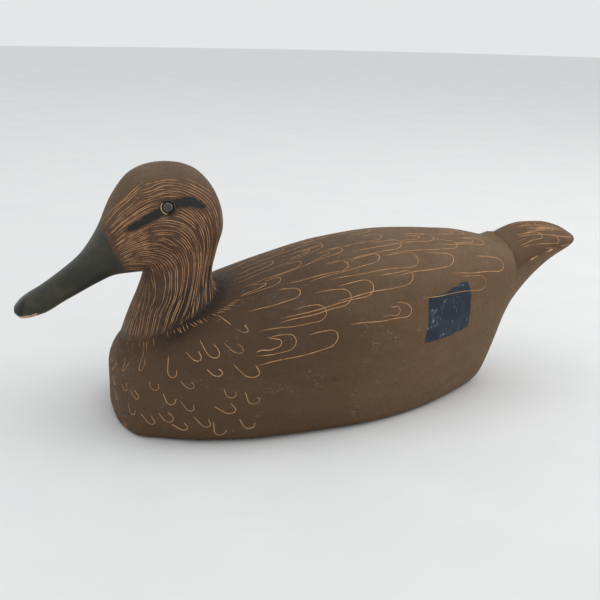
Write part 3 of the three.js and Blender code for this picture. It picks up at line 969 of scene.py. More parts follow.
@dataclass
class NeckSeat:
    """The sloping flat on the body that the head block stands on, and the neck's outline over it.

    The two blocks are shaped and sanded as one surface, and parted a margin outside the neck's outline.
    """

    x: float = -140
    z: float = 58
    slope: float = 0.5
    gap: float = 0.3
    hairline: float = 0.03
    margin: float = 2.5
    low: float = 40
    high: float = 146
    front: Pairs = (
        (40, -150), (50, -147), (58, -143.5), (66, -140.5), (72, -138), (80, -134.5), (88, -131), (98, -127.5),
        (104, -126), (125, -126), (146, -126),
    )  # fmt: skip
    back: Pairs = ((40, -50), (60, -59), (84, -73), (100, -78.5), (115, -75), (132, -71), (146, -79))
    half_width: Pairs = ((40, 46), (60, 44), (84, 36), (103, 28), (116, 26.5), (132, 28.5), (146, 27))
    dowel: Fixing = Fixing(station=-114, radius=5, below=-13.3, above=13)
    screw: Fixing = Fixing(station=-96, radius=2.5, below=-60, above=30)
    washer_radius: float = 8
    washer_depth: float = 15
    washer_play: float = 1
    fold_reach: float = 0.28
    fold_low: float = 42
    fold_high: float = 108
    fold_height: float = 16
    fold_fade: float = 8
    skull_room: tuple[Triple, Triple] = ((-240, -60, 104), (-50, 60, 200))
    bill_room: tuple[Triple, Triple] = ((-240, -40, 74.5), (-122, 40, 150))
    sides: int = 96
    rows: int = 60

    def __post_init__(self) -> None:
        """Prepare the curves and the seat's normal."""
        self.front_at, self.back_at, self.half_at = Profile(self.front), Profile(self.back), Profile(self.half_width)
        tilt = math.atan(self.slope)
        self.normal = np.array([-math.sin(tilt), 0, math.cos(tilt)])

    def height(self, x: np.ndarray | float) -> np.ndarray | float:
        """Height of the seat at a station."""
        return self.z + self.slope * (x - self.x)

    def point(self, x: float) -> np.ndarray:
        """The point of the seat at a station on the middle line."""
        return np.array([x, 0, self.height(x)])

    def ring(self, z: float, grow: float = 0.0) -> np.ndarray:
        """Draw the neck's outline at a height.

        Args:
            z: The height.
            grow: How much larger it is all round.

        Returns:
            The ring of points.
        """
        front, back = self.front_at(z) - grow, self.back_at(z) + grow
        a = np.linspace(0, 2 * math.pi, self.sides, endpoint=False)
        x = (front + back) / 2 + (back - front) / 2 * np.cos(a)
        return np.column_stack([x, (self.half_at(z) + grow) * np.sin(a), np.full(self.sides, z)])

    def neck(self, grow: float = 0.0) -> Shell:
        """The whole neck from inside the body to inside the skull, larger all round by grow."""
        return loft([self.ring(z, grow) for z in np.linspace(self.low, self.high, self.rows)])

    def over_seat(self, lift: float) -> Shell:
        """Fill everything above the seat.

        Args:
            lift: How far above the seat it starts.

        Returns:
            A large block to cut with.
        """
        size = 400.0
        flat = block((-size, -size, lift), (size, size, size))
        turn = np.array(Matrix.Rotation(-math.atan(self.slope), 3, "Y"))
        flat.points = flat.points @ turn.T + self.point(self.screw.station)
        return flat

    def bore(self, fixing: Fixing, low: float, high: float) -> Shell:
        """The hole for a dowel or screw, from low to high above the seat, to cut with."""
        return rod(fixing.radius + self.gap, low, high, 32, self.point(fixing.station), self.normal)

    def fold(self, points: np.ndarray) -> np.ndarray:
        """Find the valley round the neck's foot, which is rounded out.

        Args:
            points: Rows of points in millimetres.

        Returns:
            How much each point belongs to it, from 0 to 1.
        """
        x, y, z = points.T
        height = np.clip(z, self.low, self.high)
        front, back = self.front_at(height), self.back_at(height)
        around = np.hypot((x - (front + back) / 2) / ((back - front) / 2), y / self.half_at(height))
        close = hump(np.maximum(around - 1, 0), 0, self.fold_reach) * (z < self.fold_high) * (z > self.fold_low)
        over = np.maximum(z - self.height(x) - self.fold_height, 0)
        return (close * hump(over, 0, self.fold_fade)).clip(0, 1)

    def head_room(self, margin: float, lift: float) -> Object:
        """Everything that belongs to the head block once it is parted from the body.

        Args:
            margin: How far outside the neck's outline the parting line runs.
            lift: How far above the seat it starts.

        Returns:
            A body to cut with.
        """
        room = self.neck(margin).mesh_object("head_room")
        carve(room, self.over_seat(lift), Cut.KEEP)
        for corners in (self.skull_room, self.bill_room):
            carve(room, block(*corners), Cut.JOIN)
        return room


@dataclass
class Body:
    """The carved body: breast, domed back, stern and upswept tail.

    It is hollow inside, with a recess below for the bottom board. The back ends in a lip over the tail.
    """

    seat: NeckSeat
    front: float = -152.5
    rear: float = 215
    breast_round: float = 15
    tail_round: float = 16
    half_beam: Pairs = (
        (-152.5, 49), (-128, 63), (-99, 77), (-55, 84.5), (4, 81.5), (62, 67), (111, 50), (150, 34), (162, 29.5),
        (184, 25), (215, 21),
    )  # fmt: skip
    beam_height: Pairs = (
        (-152.5, 31), (-120, 40), (-55, 45), (0, 48), (52, 54), (101, 67), (140, 88), (180, 105), (215, 111.5),
    )  # fmt: skip
    bottom_line: Pairs = (
        (-152.5, 4), (-150.5, 1), (-148, 0), (120, 0), (133, 2.5), (141, 12.5), (160, 54), (189, 88), (215, 106.5),
    )  # fmt: skip
    back_top: Pairs = (
        (-152.5, 33), (-145, 41.5), (-133, 55), (-104, 79), (-74, 89), (-35, 102.5), (13, 116), (62, 122),
        (111, 119.5), (140, 113.5), (157, 108),
    )  # fmt: skip
    tail_top: Pairs = (
        (80, 95), (130, 111.5), (150, 118.5), (160, 121.5), (172, 123.5), (188, 123), (202, 119.5), (215, 112.5),
    )  # fmt: skip
    lip_end: float = 157
    lip_round: float = 12
    lip_line: float = 146
    last_back: float = 140.5
    lip_bow: float = 5
    lip_sweep: float = 0.004
    lip_step: float = 2.2
    lip_fade: float = 13
    tail_start: float = 80
    tail_flush: float = 150
    tail_inset: float = 1.2
    top_power: float = 2.3
    tail_power: float = 1.55
    low_power: float = 2.6
    low_power_stern: float = 1.3
    bottom_flat: float = 0.83
    stern_start: float = 40
    stern_length: float = 110
    stern_flat: float = 0.1
    board_front: float = -132
    board_rear: float = 104
    board_share: float = 0.78
    board_margin: float = 3
    board_thick: float = 12
    board_round: float = 26
    ledge: float = 9
    roof: Pairs = ((-125, 46), (-90, 56), (-35, 78), (20, 90), (60, 92), (97, 74))
    roof_share: float = 0.86
    roof_dome: float = 22
    patch: Pairs = (
        (64, 71), (61, 55), (82, 56), (102, 60), (104, 84), (102, 93), (96, 93.5), (84, 89), (65, 87),
    )  # fmt: skip
    start: float = 0.3
    breast_run: float = 30
    grain: float = 1.3
    first_sanding: int = 2
    fold_sanding: int = 24

    def __post_init__(self) -> None:
        """Prepare the curves."""
        self.beam_at, self.middle_at = Profile(self.half_beam), Profile(self.beam_height)
        self.bottom_at, self.back_at = Profile(self.bottom_line), Profile(self.back_top)
        self.tail_at, self.roof_at = Profile(self.tail_top), Profile(self.roof)

    def width(self, x: float) -> float:
        """Half width of the body at a station, rounded off in plan at the breast and the tail tip."""
        ends = round_end(x - self.front, self.breast_round) * round_end(self.rear - x, self.tail_round)
        return float(self.beam_at(x)) * ends

    def section(self, x: float, width: float, top: float, middle: float, low: float, power: float) -> np.ndarray:
        """Draw a section with a domed top and sides that turn in to the flat underside.

        Args:
            x: Station.
            width: Half width at the widest line.
            top: Height of the middle of the back.
            middle: Height of the widest line.
            low: Height of the underside.
            power: Superellipse power of the dome.

        Returns:
            The ring of points.
        """
        stern = min(max((x - self.stern_start) / self.stern_length, 0), 1)
        flat = width * (self.bottom_flat + (self.stern_flat - self.bottom_flat) * stern**2)
        upper = quarter(power, 36) * [width, top - middle] + [0, middle]
        s, c = quarter(self.low_power - self.low_power_stern * stern, 30)[1:].T
        lower = np.column_stack([flat + (width - flat) * c, middle - (middle - low) * s])
        return mirrored(x, np.vstack([upper, lower]))

    def back_ring(self, x: float) -> np.ndarray:
        """Draw a section of the breast, sides and back, which end in the lip over the tail.

        Args:
            x: Station.

        Returns:
            The ring of points.
        """
        thinnest = 0.04
        lip = max(round_end(self.lip_end - x, self.lip_round), thinnest)
        middle = float(self.middle_at(x))
        low = middle - (middle - float(self.bottom_at(x))) * lip
        return self.section(x, self.width(x) * lip, float(self.back_at(x)), middle, low, self.top_power)

    def tail_ring(self, x: float) -> np.ndarray:
        """Draw a section of the stern and tail, which start a little narrower inside the back.

        Args:
            x: Station.

        Returns:
            The ring of points.
        """
        inset = self.tail_inset * max((self.tail_flush - x) / (self.tail_flush - self.tail_start), 0)
        low = float(self.bottom_at(x)) + inset
        top = max(float(self.tail_at(x)), low + 3)
        middle = min(float(self.middle_at(x)), top - 1.5)
        return self.section(x, self.width(x) - inset, top, middle, min(low, middle - 1), self.tail_power)

    def board_half(self, x: float, inset: float) -> float:
        """Read the half width of the bottom board's outline.

        Args:
            x: Station.
            inset: How far the outline is moved inward.

        Returns:
            The half width, never quite nothing.
        """
        front, rear = x - self.board_front - inset, self.board_rear - inset - x
        ends = round_end(front, self.board_round) * round_end(rear, self.board_round)
        return max((float(self.beam_at(x)) * self.board_share - self.board_margin - inset) * ends, 0.8)

    def recess(self) -> Shell:
        """Make the room for the bottom board.

        Returns:
            A body to cut with.
        """
        low, high, inset = -1.0, self.board_thick + self.seat.gap, -self.seat.gap
        xs = eased(self.board_front + inset, self.board_rear - self.board_front - 2 * inset, 60)
        half = [self.board_half(x, inset) for x in xs]
        return loft([np.array([[x, -y, low], [x, y, low], [x, y, high], [x, -y, high]]) for x, y in zip(xs, half)])

    def hollow(self) -> Shell:
        """Make the room inside, over the board.

        Returns:
            A body to cut with.
        """
        rings = []
        length = self.board_rear - self.board_front - 2 * self.ledge
        for x in eased(self.board_front + self.ledge, length, 40):
            mouth, top = self.board_half(x, self.ledge), float(self.roof_at(x))
            dome = quarter(3, 10) * [mouth * self.roof_share, self.roof_dome] + [0, top - self.roof_dome]
            rings.append(mirrored(x, np.vstack([dome, [mouth, self.board_thick - 1]])))
        return loft(rings)

    def edge_distance(self, x: np.ndarray, z: np.ndarray) -> np.ndarray:
        """Measure how far inside the wing patch's outline places of the side view lie.

        Args:
            x: Their stations.
            z: Their heights.

        Returns:
            The distances, negative outside.
        """
        outline = np.array(self.patch, float)
        inside = np.zeros(len(x), bool)
        nearest = np.full(len(x), 1e9)
        for (ax, az), (bx, bz) in zip(outline, np.roll(outline, -1, 0)):
            t = (((x - ax) * (bx - ax) + (z - az) * (bz - az)) / ((bx - ax) ** 2 + (bz - az) ** 2)).clip(0, 1)
            nearest = np.minimum(nearest, np.hypot(x - ax - t * (bx - ax), z - az - t * (bz - az)))
            crosses = (az > z) != (bz > z)
            inside ^= crosses & (x < ax + (z - az) * (bx - ax) / (bz - az if bz != az else 1e-9))
        return np.where(inside, nearest, -nearest)

    def front_half(self) -> Shell:
        """The breast and front of the back, which the neck's foot flows into."""
        return loft([self.back_ring(x) for x in np.r_[self.breast(), np.linspace(-120, -42, 60)]])

    def breast(self) -> np.ndarray:
        """Stations of the breast, closest together at the front."""
        return slowing(self.front + self.start, self.breast_run, 24)

    def whole(self) -> Shell:
        """Put together the back, the tail and the neck's foot.

        Returns:
            The overlapping bodies, before they are fused.
        """
        lip = self.last_back + (self.lip_end - 0.2 - self.last_back) * np.sin(np.linspace(0.02, math.pi / 2, 22))
        backs = np.r_[self.breast(), np.linspace(-120, 140, 150), lip]
        tip = 197 + 17.7 * np.sin(np.linspace(0, math.pi / 2, 22))
        tails = np.r_[np.linspace(self.tail_start, 196, 80), tip]
        return loft([self.back_ring(x) for x in backs]) + loft([self.tail_ring(x) for x in tails]) + self.seat.neck()

    def fit_out(self, body: Object) -> None:
        """Cut the seat, the hollow, the recess and the holes of the neck's fixings.

        Args:
            body: The shaped body.
        """
        seat = self.seat
        carve(body, seat.head_room(seat.margin + seat.hairline, 0.0))
        carve(body, self.recess())
        carve(body, self.hollow())
        for fixing in (seat.dowel, seat.screw):
            carve(body, seat.bore(fixing, fixing.below, 5))
        axis, radius = seat.point(seat.screw.station), seat.washer_radius + seat.washer_play
        carve(body, rod(radius, seat.screw.below, -seat.washer_depth, 40, axis, seat.normal))

    def build(self) -> Object:
        """Carve the body.

        Returns:
            The finished piece, riding on the decoy.
        """
        body = self.whole().mesh_object("decoy_body")
        fuse(body, self.grain)
        sand(body, self.first_sanding)
        sand(body, self.fold_sanding, self.seat.fold(positions(body.data) / MM))
        self.step_down(body.data)
        self.fit_out(body)
        shade(body)
        self.mark(body.data)
        paint(body, BodyPaint("body_paint").build())
        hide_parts("body")
        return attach(body, "decoy")

    def behind_lip(self, points: np.ndarray) -> np.ndarray:
        """Measure the distance behind the lip over the tail, which bows back at its sides and sweeps forward below.

        Args:
            points: Rows of points in millimetres.

        Returns:
            The distances, negative in front of the lip.
        """
        x, y, z = points.T
        bow = self.lip_bow * ramp(np.abs(y), 6, 20)
        return x - (self.lip_line + bow - self.lip_sweep * np.clip(100 - z, 0, 20) ** 2)

    def step_down(self, mesh: Mesh) -> None:
        """Drop the tail's surface behind the lip.

        The step is deepest against the lip and fades out along the tail and down the side.

        Args:
            mesh: The body's mesh.
        """
        points = positions(mesh) / MM
        behind = self.behind_lip(points)
        normals = np.empty(len(points) * 3, np.float32)
        mesh.vertices.foreach_get("normal", normals)
        depth = self.lip_step * (behind > 0) * hump(behind, 0, self.lip_fade) * ramp(points[:, 2], 80, 12)
        points -= normals.reshape(-1, 3) * depth[:, None]
        mesh.vertices.foreach_set("co", (points * MM).ravel())
        mesh.update()

    def mark(self, mesh: Mesh) -> None:
        """Note where the paint changes, darkens or wears off.

        Args:
            mesh: The body's mesh.
        """
        points = positions(mesh) / MM
        x, y, z = points.T
        behind = self.behind_lip(points)
        middle = np.array(self.middle_at(x))
        # Chips: on sharp edges, along the breast's foot and on the ridge along each side of the tail.
        front_foot = (z < 5) * hump(x, -88, 34)
        ridge = hump(z, middle, 1.9) * ramp(x, 156, 8) * (np.abs(y) > 12)
        weight = 0.5 - 0.25 * (z < 8) + 1.2 * front_foot
        note(mesh, "edge", (convexity(mesh) * 3.0).clip(-1, 1.6) * weight + 1.0 * ridge)
        # Painted shadow: in the fold behind the neck and close under the lip.
        fold = self.seat.fold(points) * ramp(x, -130, 20)
        under_lip = hump(np.maximum(behind, 0), 0, 2.5) * (behind > 0.3) * ramp(z, 82, 10)
        note(mesh, "crease", (fold * 0.85 + 0.5 * under_lip).clip(0, 0.85))
        # Colours: the wing patch and the tail, painted shade that darkens the front and deepens higher up, and painted
        # light that brightens the stern.
        note(mesh, "patch", self.edge_distance(x, z))
        note(mesh, "tail", ramp(behind, 0, 3) * ramp(z - middle, -2, 3))
        note(mesh, "shade", ramp(x, 60, -110) ** 0.8 * (0.5 + 0.42 * ramp(z, 35, 40)))
        # Painted light: the stern is lifted toward the pale brown.
        note(mesh, "painted_stern_light", 0.5 * ramp(x, 70, 80))


@dataclass
class Head:
    """The carved head, neck and bill block, with sockets for the glass eyes."""

    seat: NeckSeat
    body: Body
    tip: float = -215
    back: float = -70
    back_round: float = 18
    top: Pairs = (
        (-215, 83), (-210, 88.5), (-196, 97), (-182, 106.8), (-169, 117.5), (-157, 134.5), (-146, 157.5), (-133, 173),
        (-121, 178), (-111, 179.2), (-101, 178.4), (-90, 174.7), (-80, 165.5), (-74, 155), (-70, 142),
    )  # fmt: skip
    bottom: Pairs = (
        (-215, 79), (-210, 75.2), (-196, 77.8), (-182, 85.2), (-169, 91.8), (-157, 97.8), (-146, 102.3), (-125, 104),
        (-100, 106), (-85, 112), (-75, 121), (-70, 129),
    )  # fmt: skip
    half_width: Pairs = (
        (-215, 4.5), (-211, 9), (-202, 12), (-190, 12.5), (-169, 14), (-157, 17), (-146, 23), (-133, 28.5), (-117, 31),
        (-102, 31), (-85, 29), (-70, 26),
    )  # fmt: skip
    power: float = 2.2
    bill_line: Pairs = ((100, -140), (111, -142), (115, -144), (124, -149), (133, -152.5), (137, -156), (142, -159))
    stripe: tuple[tuple[float, float, float], ...] = (
        (-138, 139.5, 1.6), (-132, 143, 2.6), (-122, 148.5, 2.7), (-113, 153.5, 2.6), (-106, 156, 2.8),
        (-99, 156.5, 3.3), (-92, 154.5, 2.6), (-88.5, 153, 1.4),
    )  # fmt: skip
    eye: tuple[float, float] = (-113, 153.5)
    eye_turn: tuple[float, float] = (-0.1, 0.22)
    socket_radius: float = 5.4
    socket_depth: float = 4
    grain: float = 0.85
    first_sanding: int = 4
    fold_sanding: int = 56
    skull_sanding: int = 60

    def __post_init__(self) -> None:
        """Prepare the curves."""
        self.top_at, self.bottom_at, self.half_at = Profile(self.top), Profile(self.bottom), Profile(self.half_width)
        self.bill_at = Profile(self.bill_line)

    def ring(self, x: float) -> np.ndarray:
        """Draw a section of the skull or bill.

        Args:
            x: Station.

        Returns:
            The ring of points.
        """
        top, bottom = float(self.top_at(x)), float(self.bottom_at(x))
        width = float(self.half_at(x)) * round_end(self.back - x, self.back_round)
        half = (top - bottom) / 2
        arc, centre = quarter(self.power, 30), [0, (top + bottom) / 2]
        upper = arc * [width, half] + centre
        lower = arc[:-1][::-1] * [width, -half] + centre
        return mirrored(x, np.vstack([upper, lower]))

    def eye_place(self, side: Side) -> tuple[np.ndarray, np.ndarray]:
        """Find where an eye sits.

        Args:
            side: The side it is on.

        Returns:
            The point on the head's surface and the direction that the eye looks in.
        """
        x, z = self.eye
        top, bottom = float(self.top_at(x)), float(self.bottom_at(x))
        rise = (z - (top + bottom) / 2) / ((top - bottom) / 2)
        y = float(self.half_at(x)) * (1 - rise**self.power) ** (1 / self.power)
        outward = np.array([self.eye_turn[0], side, self.eye_turn[1]])
        return np.array([x, side * y, z]), outward / np.linalg.norm(outward)

    def stripe_depth(self, x: np.ndarray, z: np.ndarray) -> np.ndarray:
        """Measure how far inside the eye stripe places of the side view lie.

        Args:
            x: Their stations.
            z: Their heights.

        Returns:
            The distances, negative outside.
        """
        line = np.array(self.stripe)
        best = np.full(np.shape(x), -99.0)
        for (ax, az, ar), (bx, bz, br) in zip(line, line[1:]):
            t = (((x - ax) * (bx - ax) + (z - az) * (bz - az)) / ((bx - ax) ** 2 + (bz - az) ** 2)).clip(0, 1)
            away = np.hypot(x - ax - t * (bx - ax), z - az - t * (bz - az))
            best = np.maximum(best, ar + (br - ar) * t - away)
        return best

    def blank(self) -> Object:
        """Shape the head and neck together with the front of the body, and sand them smooth.

        Returns:
            The blank, before it is parted from the body.
        """
        front = slowing(self.tip, 17, 24)
        rear = -88 + (self.back - 0.2 + 88) * np.sin(np.linspace(0, math.pi / 2, 30))
        rings = [self.ring(x) for x in np.r_[front, np.linspace(-197, -89, 100), rear]]
        head = (loft(rings) + self.seat.neck() + self.body.front_half()).mesh_object("decoy_head")
        fuse(head, self.grain)
        fold = self.seat.fold(positions(head.data) / MM)
        sand(head, self.first_sanding)
        sand(head, self.fold_sanding, fold)
        x, _, z = (positions(head.data) / MM).T
        throat = hump(z, 105, 9) * (x > -150)
        skull = ramp(x, -196, 12) * ramp(z, 84, 10)
        sand(head, self.skull_sanding, np.maximum(throat, skull).clip(0, 1))
        return head

    def build(self) -> Object:
        """Carve the head.

        Returns:
            The finished piece, riding on the decoy.
        """
        seat, head = self.seat, self.blank()
        carve(head, seat.head_room(seat.margin, seat.hairline), Cut.KEEP)
        for side in Side:
            place, outward = self.eye_place(side)
            carve(head, rod(self.socket_radius, -self.socket_depth, 6, 48, place, outward))
        for fixing in (seat.dowel, seat.screw):
            carve(head, seat.bore(fixing, -5, fixing.above + seat.gap))
        shade(head)
        self.mark(head.data)
        paint(head, HeadPaint("head_paint", chip_reach=0.62).build())
        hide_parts("head")
        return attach(head, "decoy")

    def mark(self, mesh: Mesh) -> None:
        """Note where the paint changes, darkens or wears off.

        Args:
            mesh: The head's mesh.
        """
        points = positions(mesh) / MM
        x, y, z = points.T
        # Colours: the bill, its nail, the eye stripe and the combed ground below the plain crown.
        bill = self.bill_at(z) - x
        note(mesh, "bill", np.where(z > 60, bill, -9.0))
        note(mesh, "nail", -206 - x - 0.03 * y**2 + 0.15 * (z - 84))
        note(mesh, "stripe", np.where(np.abs(y) > 8, self.stripe_depth(x, z), -9.0))
        crown = 0.45 * (x + 156) + 139 + 24 * ramp(x, -150, 45)
        note(mesh, "comb", ramp(z, crown, -4) * ramp(bill, 0, -1))
        # Chips: under the bill's tip.
        note(mesh, "edge", 1.27 * ramp(x, -193, -8) * ramp(z - 0.25 * (x + 205), 82.5, -3))
        # Painted shadow: in the fold behind the neck and under the chin.
        fold = self.seat.fold(points) * ramp(x, -130, 20)
        chin = hump(z, 103, 6) * hump(y, 0, 16) * (x < -112)
        note(mesh, "crease", (0.85 * fold + 0.4 * chin).clip(0, 0.85))
        # A little darker all over, with painted shade deepening toward the neck's foot.
        note(mesh, "shade", 0.3 + 0.2 * ramp(z, 112, -40))


# ---- scratched feathers ----
class Skin:
    """A finished surface that scratches can be laid on."""

    def __init__(self, piece: Object) -> None:
        """Index the surface of a finished piece."""
        mesh = piece.data
        self.tree = BVHTree.FromPolygons(positions(mesh).tolist(), [tuple(p.vertices) for p in mesh.polygons])

    def meet(self, start: Sequence[float], toward: Sequence[float]) -> tuple[np.ndarray, np.ndarray] | None:
        """Find the surface from outside.

        Args:
            start: A point outside, in millimetres.
            toward: Direction to look in.

        Returns:
            The point met and the outward normal there, or None.
        """
        direction = Vector(toward).normalized()
        hit, normal, _, _ = self.tree.ray_cast(Vector(start) * MM, direction)
        if hit is None:
            return None
        if normal.dot(direction) > 0:
            normal = -normal
        return np.array(hit) / MM, np.array(normal)


Look = tuple[Sequence[float], Sequence[float]]


@dataclass
class Scratches:
    """Scratch strokes on one surface, each a shallow groove with two raised lips."""

    name: str
    skin: Skin
    rise: float = 0.09
    sunk: float = -0.15
    longest_jump: float = 5
    points: list[np.ndarray] = field(default_factory=list)
    faces: list[tuple[int, ...]] = field(default_factory=list)
    count: int = 0

    def stroke(self, looks: Iterable[Look | None], width: float) -> None:
        """Draw one stroke along the surface, lifting the point where a look is None or misses.

        Args:
            looks: Where to look from and which way, step by step along the stroke.
            width: Width of the stroke in millimetres.
        """
        run: list[tuple[np.ndarray, np.ndarray]] = []
        for look in looks:
            met = self.skin.meet(*look) if look is not None else None
            if met is None or (run and np.linalg.norm(met[0] - run[-1][0]) > self.longest_jump):
                self.lay(run, width)
                run = []
            if met is not None:
                run.append(met)
        self.lay(run, width)

    def lay(self, run: list[tuple[np.ndarray, np.ndarray]], width: float) -> None:
        """Turn a run of surface points into a closed slim strip with tapered ends.

        Args:
            run: Points of the surface with their normals; fewer than three leave no mark.
            width: Width of the strip.
        """
        if len(run) < 3:
            return
        at = np.array([r[0] for r in run])
        up = np.array([r[1] for r in run])
        up = up + np.roll(up, 1, 0) * (np.arange(len(run)) > 0)[:, None]
        up[:-1] += np.array([r[1] for r in run])[1:]
        up /= np.linalg.norm(up, axis=1)[:, None]
        along = np.gradient(at, axis=0)
        side = np.cross(up, along)
        side /= np.linalg.norm(side, axis=1)[:, None].clip(1e-9)
        place = np.linspace(0, 1, len(run))
        half = width / 2 * np.clip(np.minimum(place, 1 - place) * len(run) / 2.5, 0.3, 1)
        across = ((-1, self.sunk), (-0.8, self.rise), (0, self.rise * 0.35), (0.8, self.rise), (1, self.sunk))
        rings = np.stack([at + side * half[:, None] * a + up * b for a, b in across], axis=1)
        base, n = self.count, len(across)
        for r in range(len(run) - 1):
            for i in range(n):
                j, low = (i + 1) % n, base + r * n
                self.faces.append((low + i, low + j, low + n + j, low + n + i))
        self.faces.append(tuple(range(base, base + n))[::-1])
        end = base + (len(run) - 1) * n
        self.faces.append(tuple(range(end, end + n)))
        self.points.append(rings.reshape(-1, 3))
        self.count += len(run) * n

    def finish(self, finish: ScratchedWood, slot: str) -> Object:
        """Make the piece that holds all the strokes.

        Args:
            finish: How the strokes look.
            slot: Name of a material slot; not used.

        Returns:
            The piece, riding on the decoy.
        """
        made = Shell(np.vstack(self.points), self.faces).mesh_object(self.name)
        shade(made, 60)
        made.data.materials.append(finish.build())
        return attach(made, "decoy")


def side_look(x: float, z: float, side: Side) -> Look:
    """Look at the surface straight from one side."""
    return (x, side * 200.0, z), (0.0, -side, 0.0)


def top_look(x: float, y: float) -> Look:
    """Look straight down at the surface."""
    return (x, y, 250.0), (0.0, 0.0, -1.0)


def level_look(middle: float, z: float, angle: float, reach: float) -> Look:
    """Look level at an upright axis from outside, degrees round from straight ahead toward the left."""
    out = (-math.cos(math.radians(angle)), -math.sin(math.radians(angle)))
    return (middle + out[0] * reach, out[1] * reach, z), (-out[0], -out[1], 0.0)


def round_look(x: float, angle: float, middle: float) -> Look:
    """Look at the body's long axis from outside, degrees round from straight up toward the left."""
    out = (-math.sin(math.radians(angle)), math.cos(math.radians(angle)))
    return (x, out[0] * 250, middle + out[1] * 250), (0.0, -out[0], -out[1])


def feather(short: float, long: float, width: float, flare: float, steps: int) -> np.ndarray:
    """The outline of a scratched feather: two legs joined by a round end that points along +u.

    Args:
        short: Length of the leg on the +v side.
        long: Length of the leg on the -v side.
        width: Distance between the legs.
        flare: How much further apart the legs are at their open ends.
        steps: Points along each part.

    Returns:
        (u, v) points from the end of the short leg to the end of the long one.
    """
    half = width / 2
    turn = np.linspace(math.pi / 2, -math.pi / 2, steps)
    top = np.column_stack([np.linspace(-short, 0, steps)[:-1], np.linspace(half + flare, half, steps)[:-1]])
    bulge = width * 0.62
    bend = np.column_stack([bulge * np.cos(turn), half * np.sin(turn)])
    low = np.column_stack([np.linspace(0, -long, steps * 2)[1:], np.linspace(-half, -half - flare, steps * 2)[1:]])
    return np.vstack([top, bend, low])


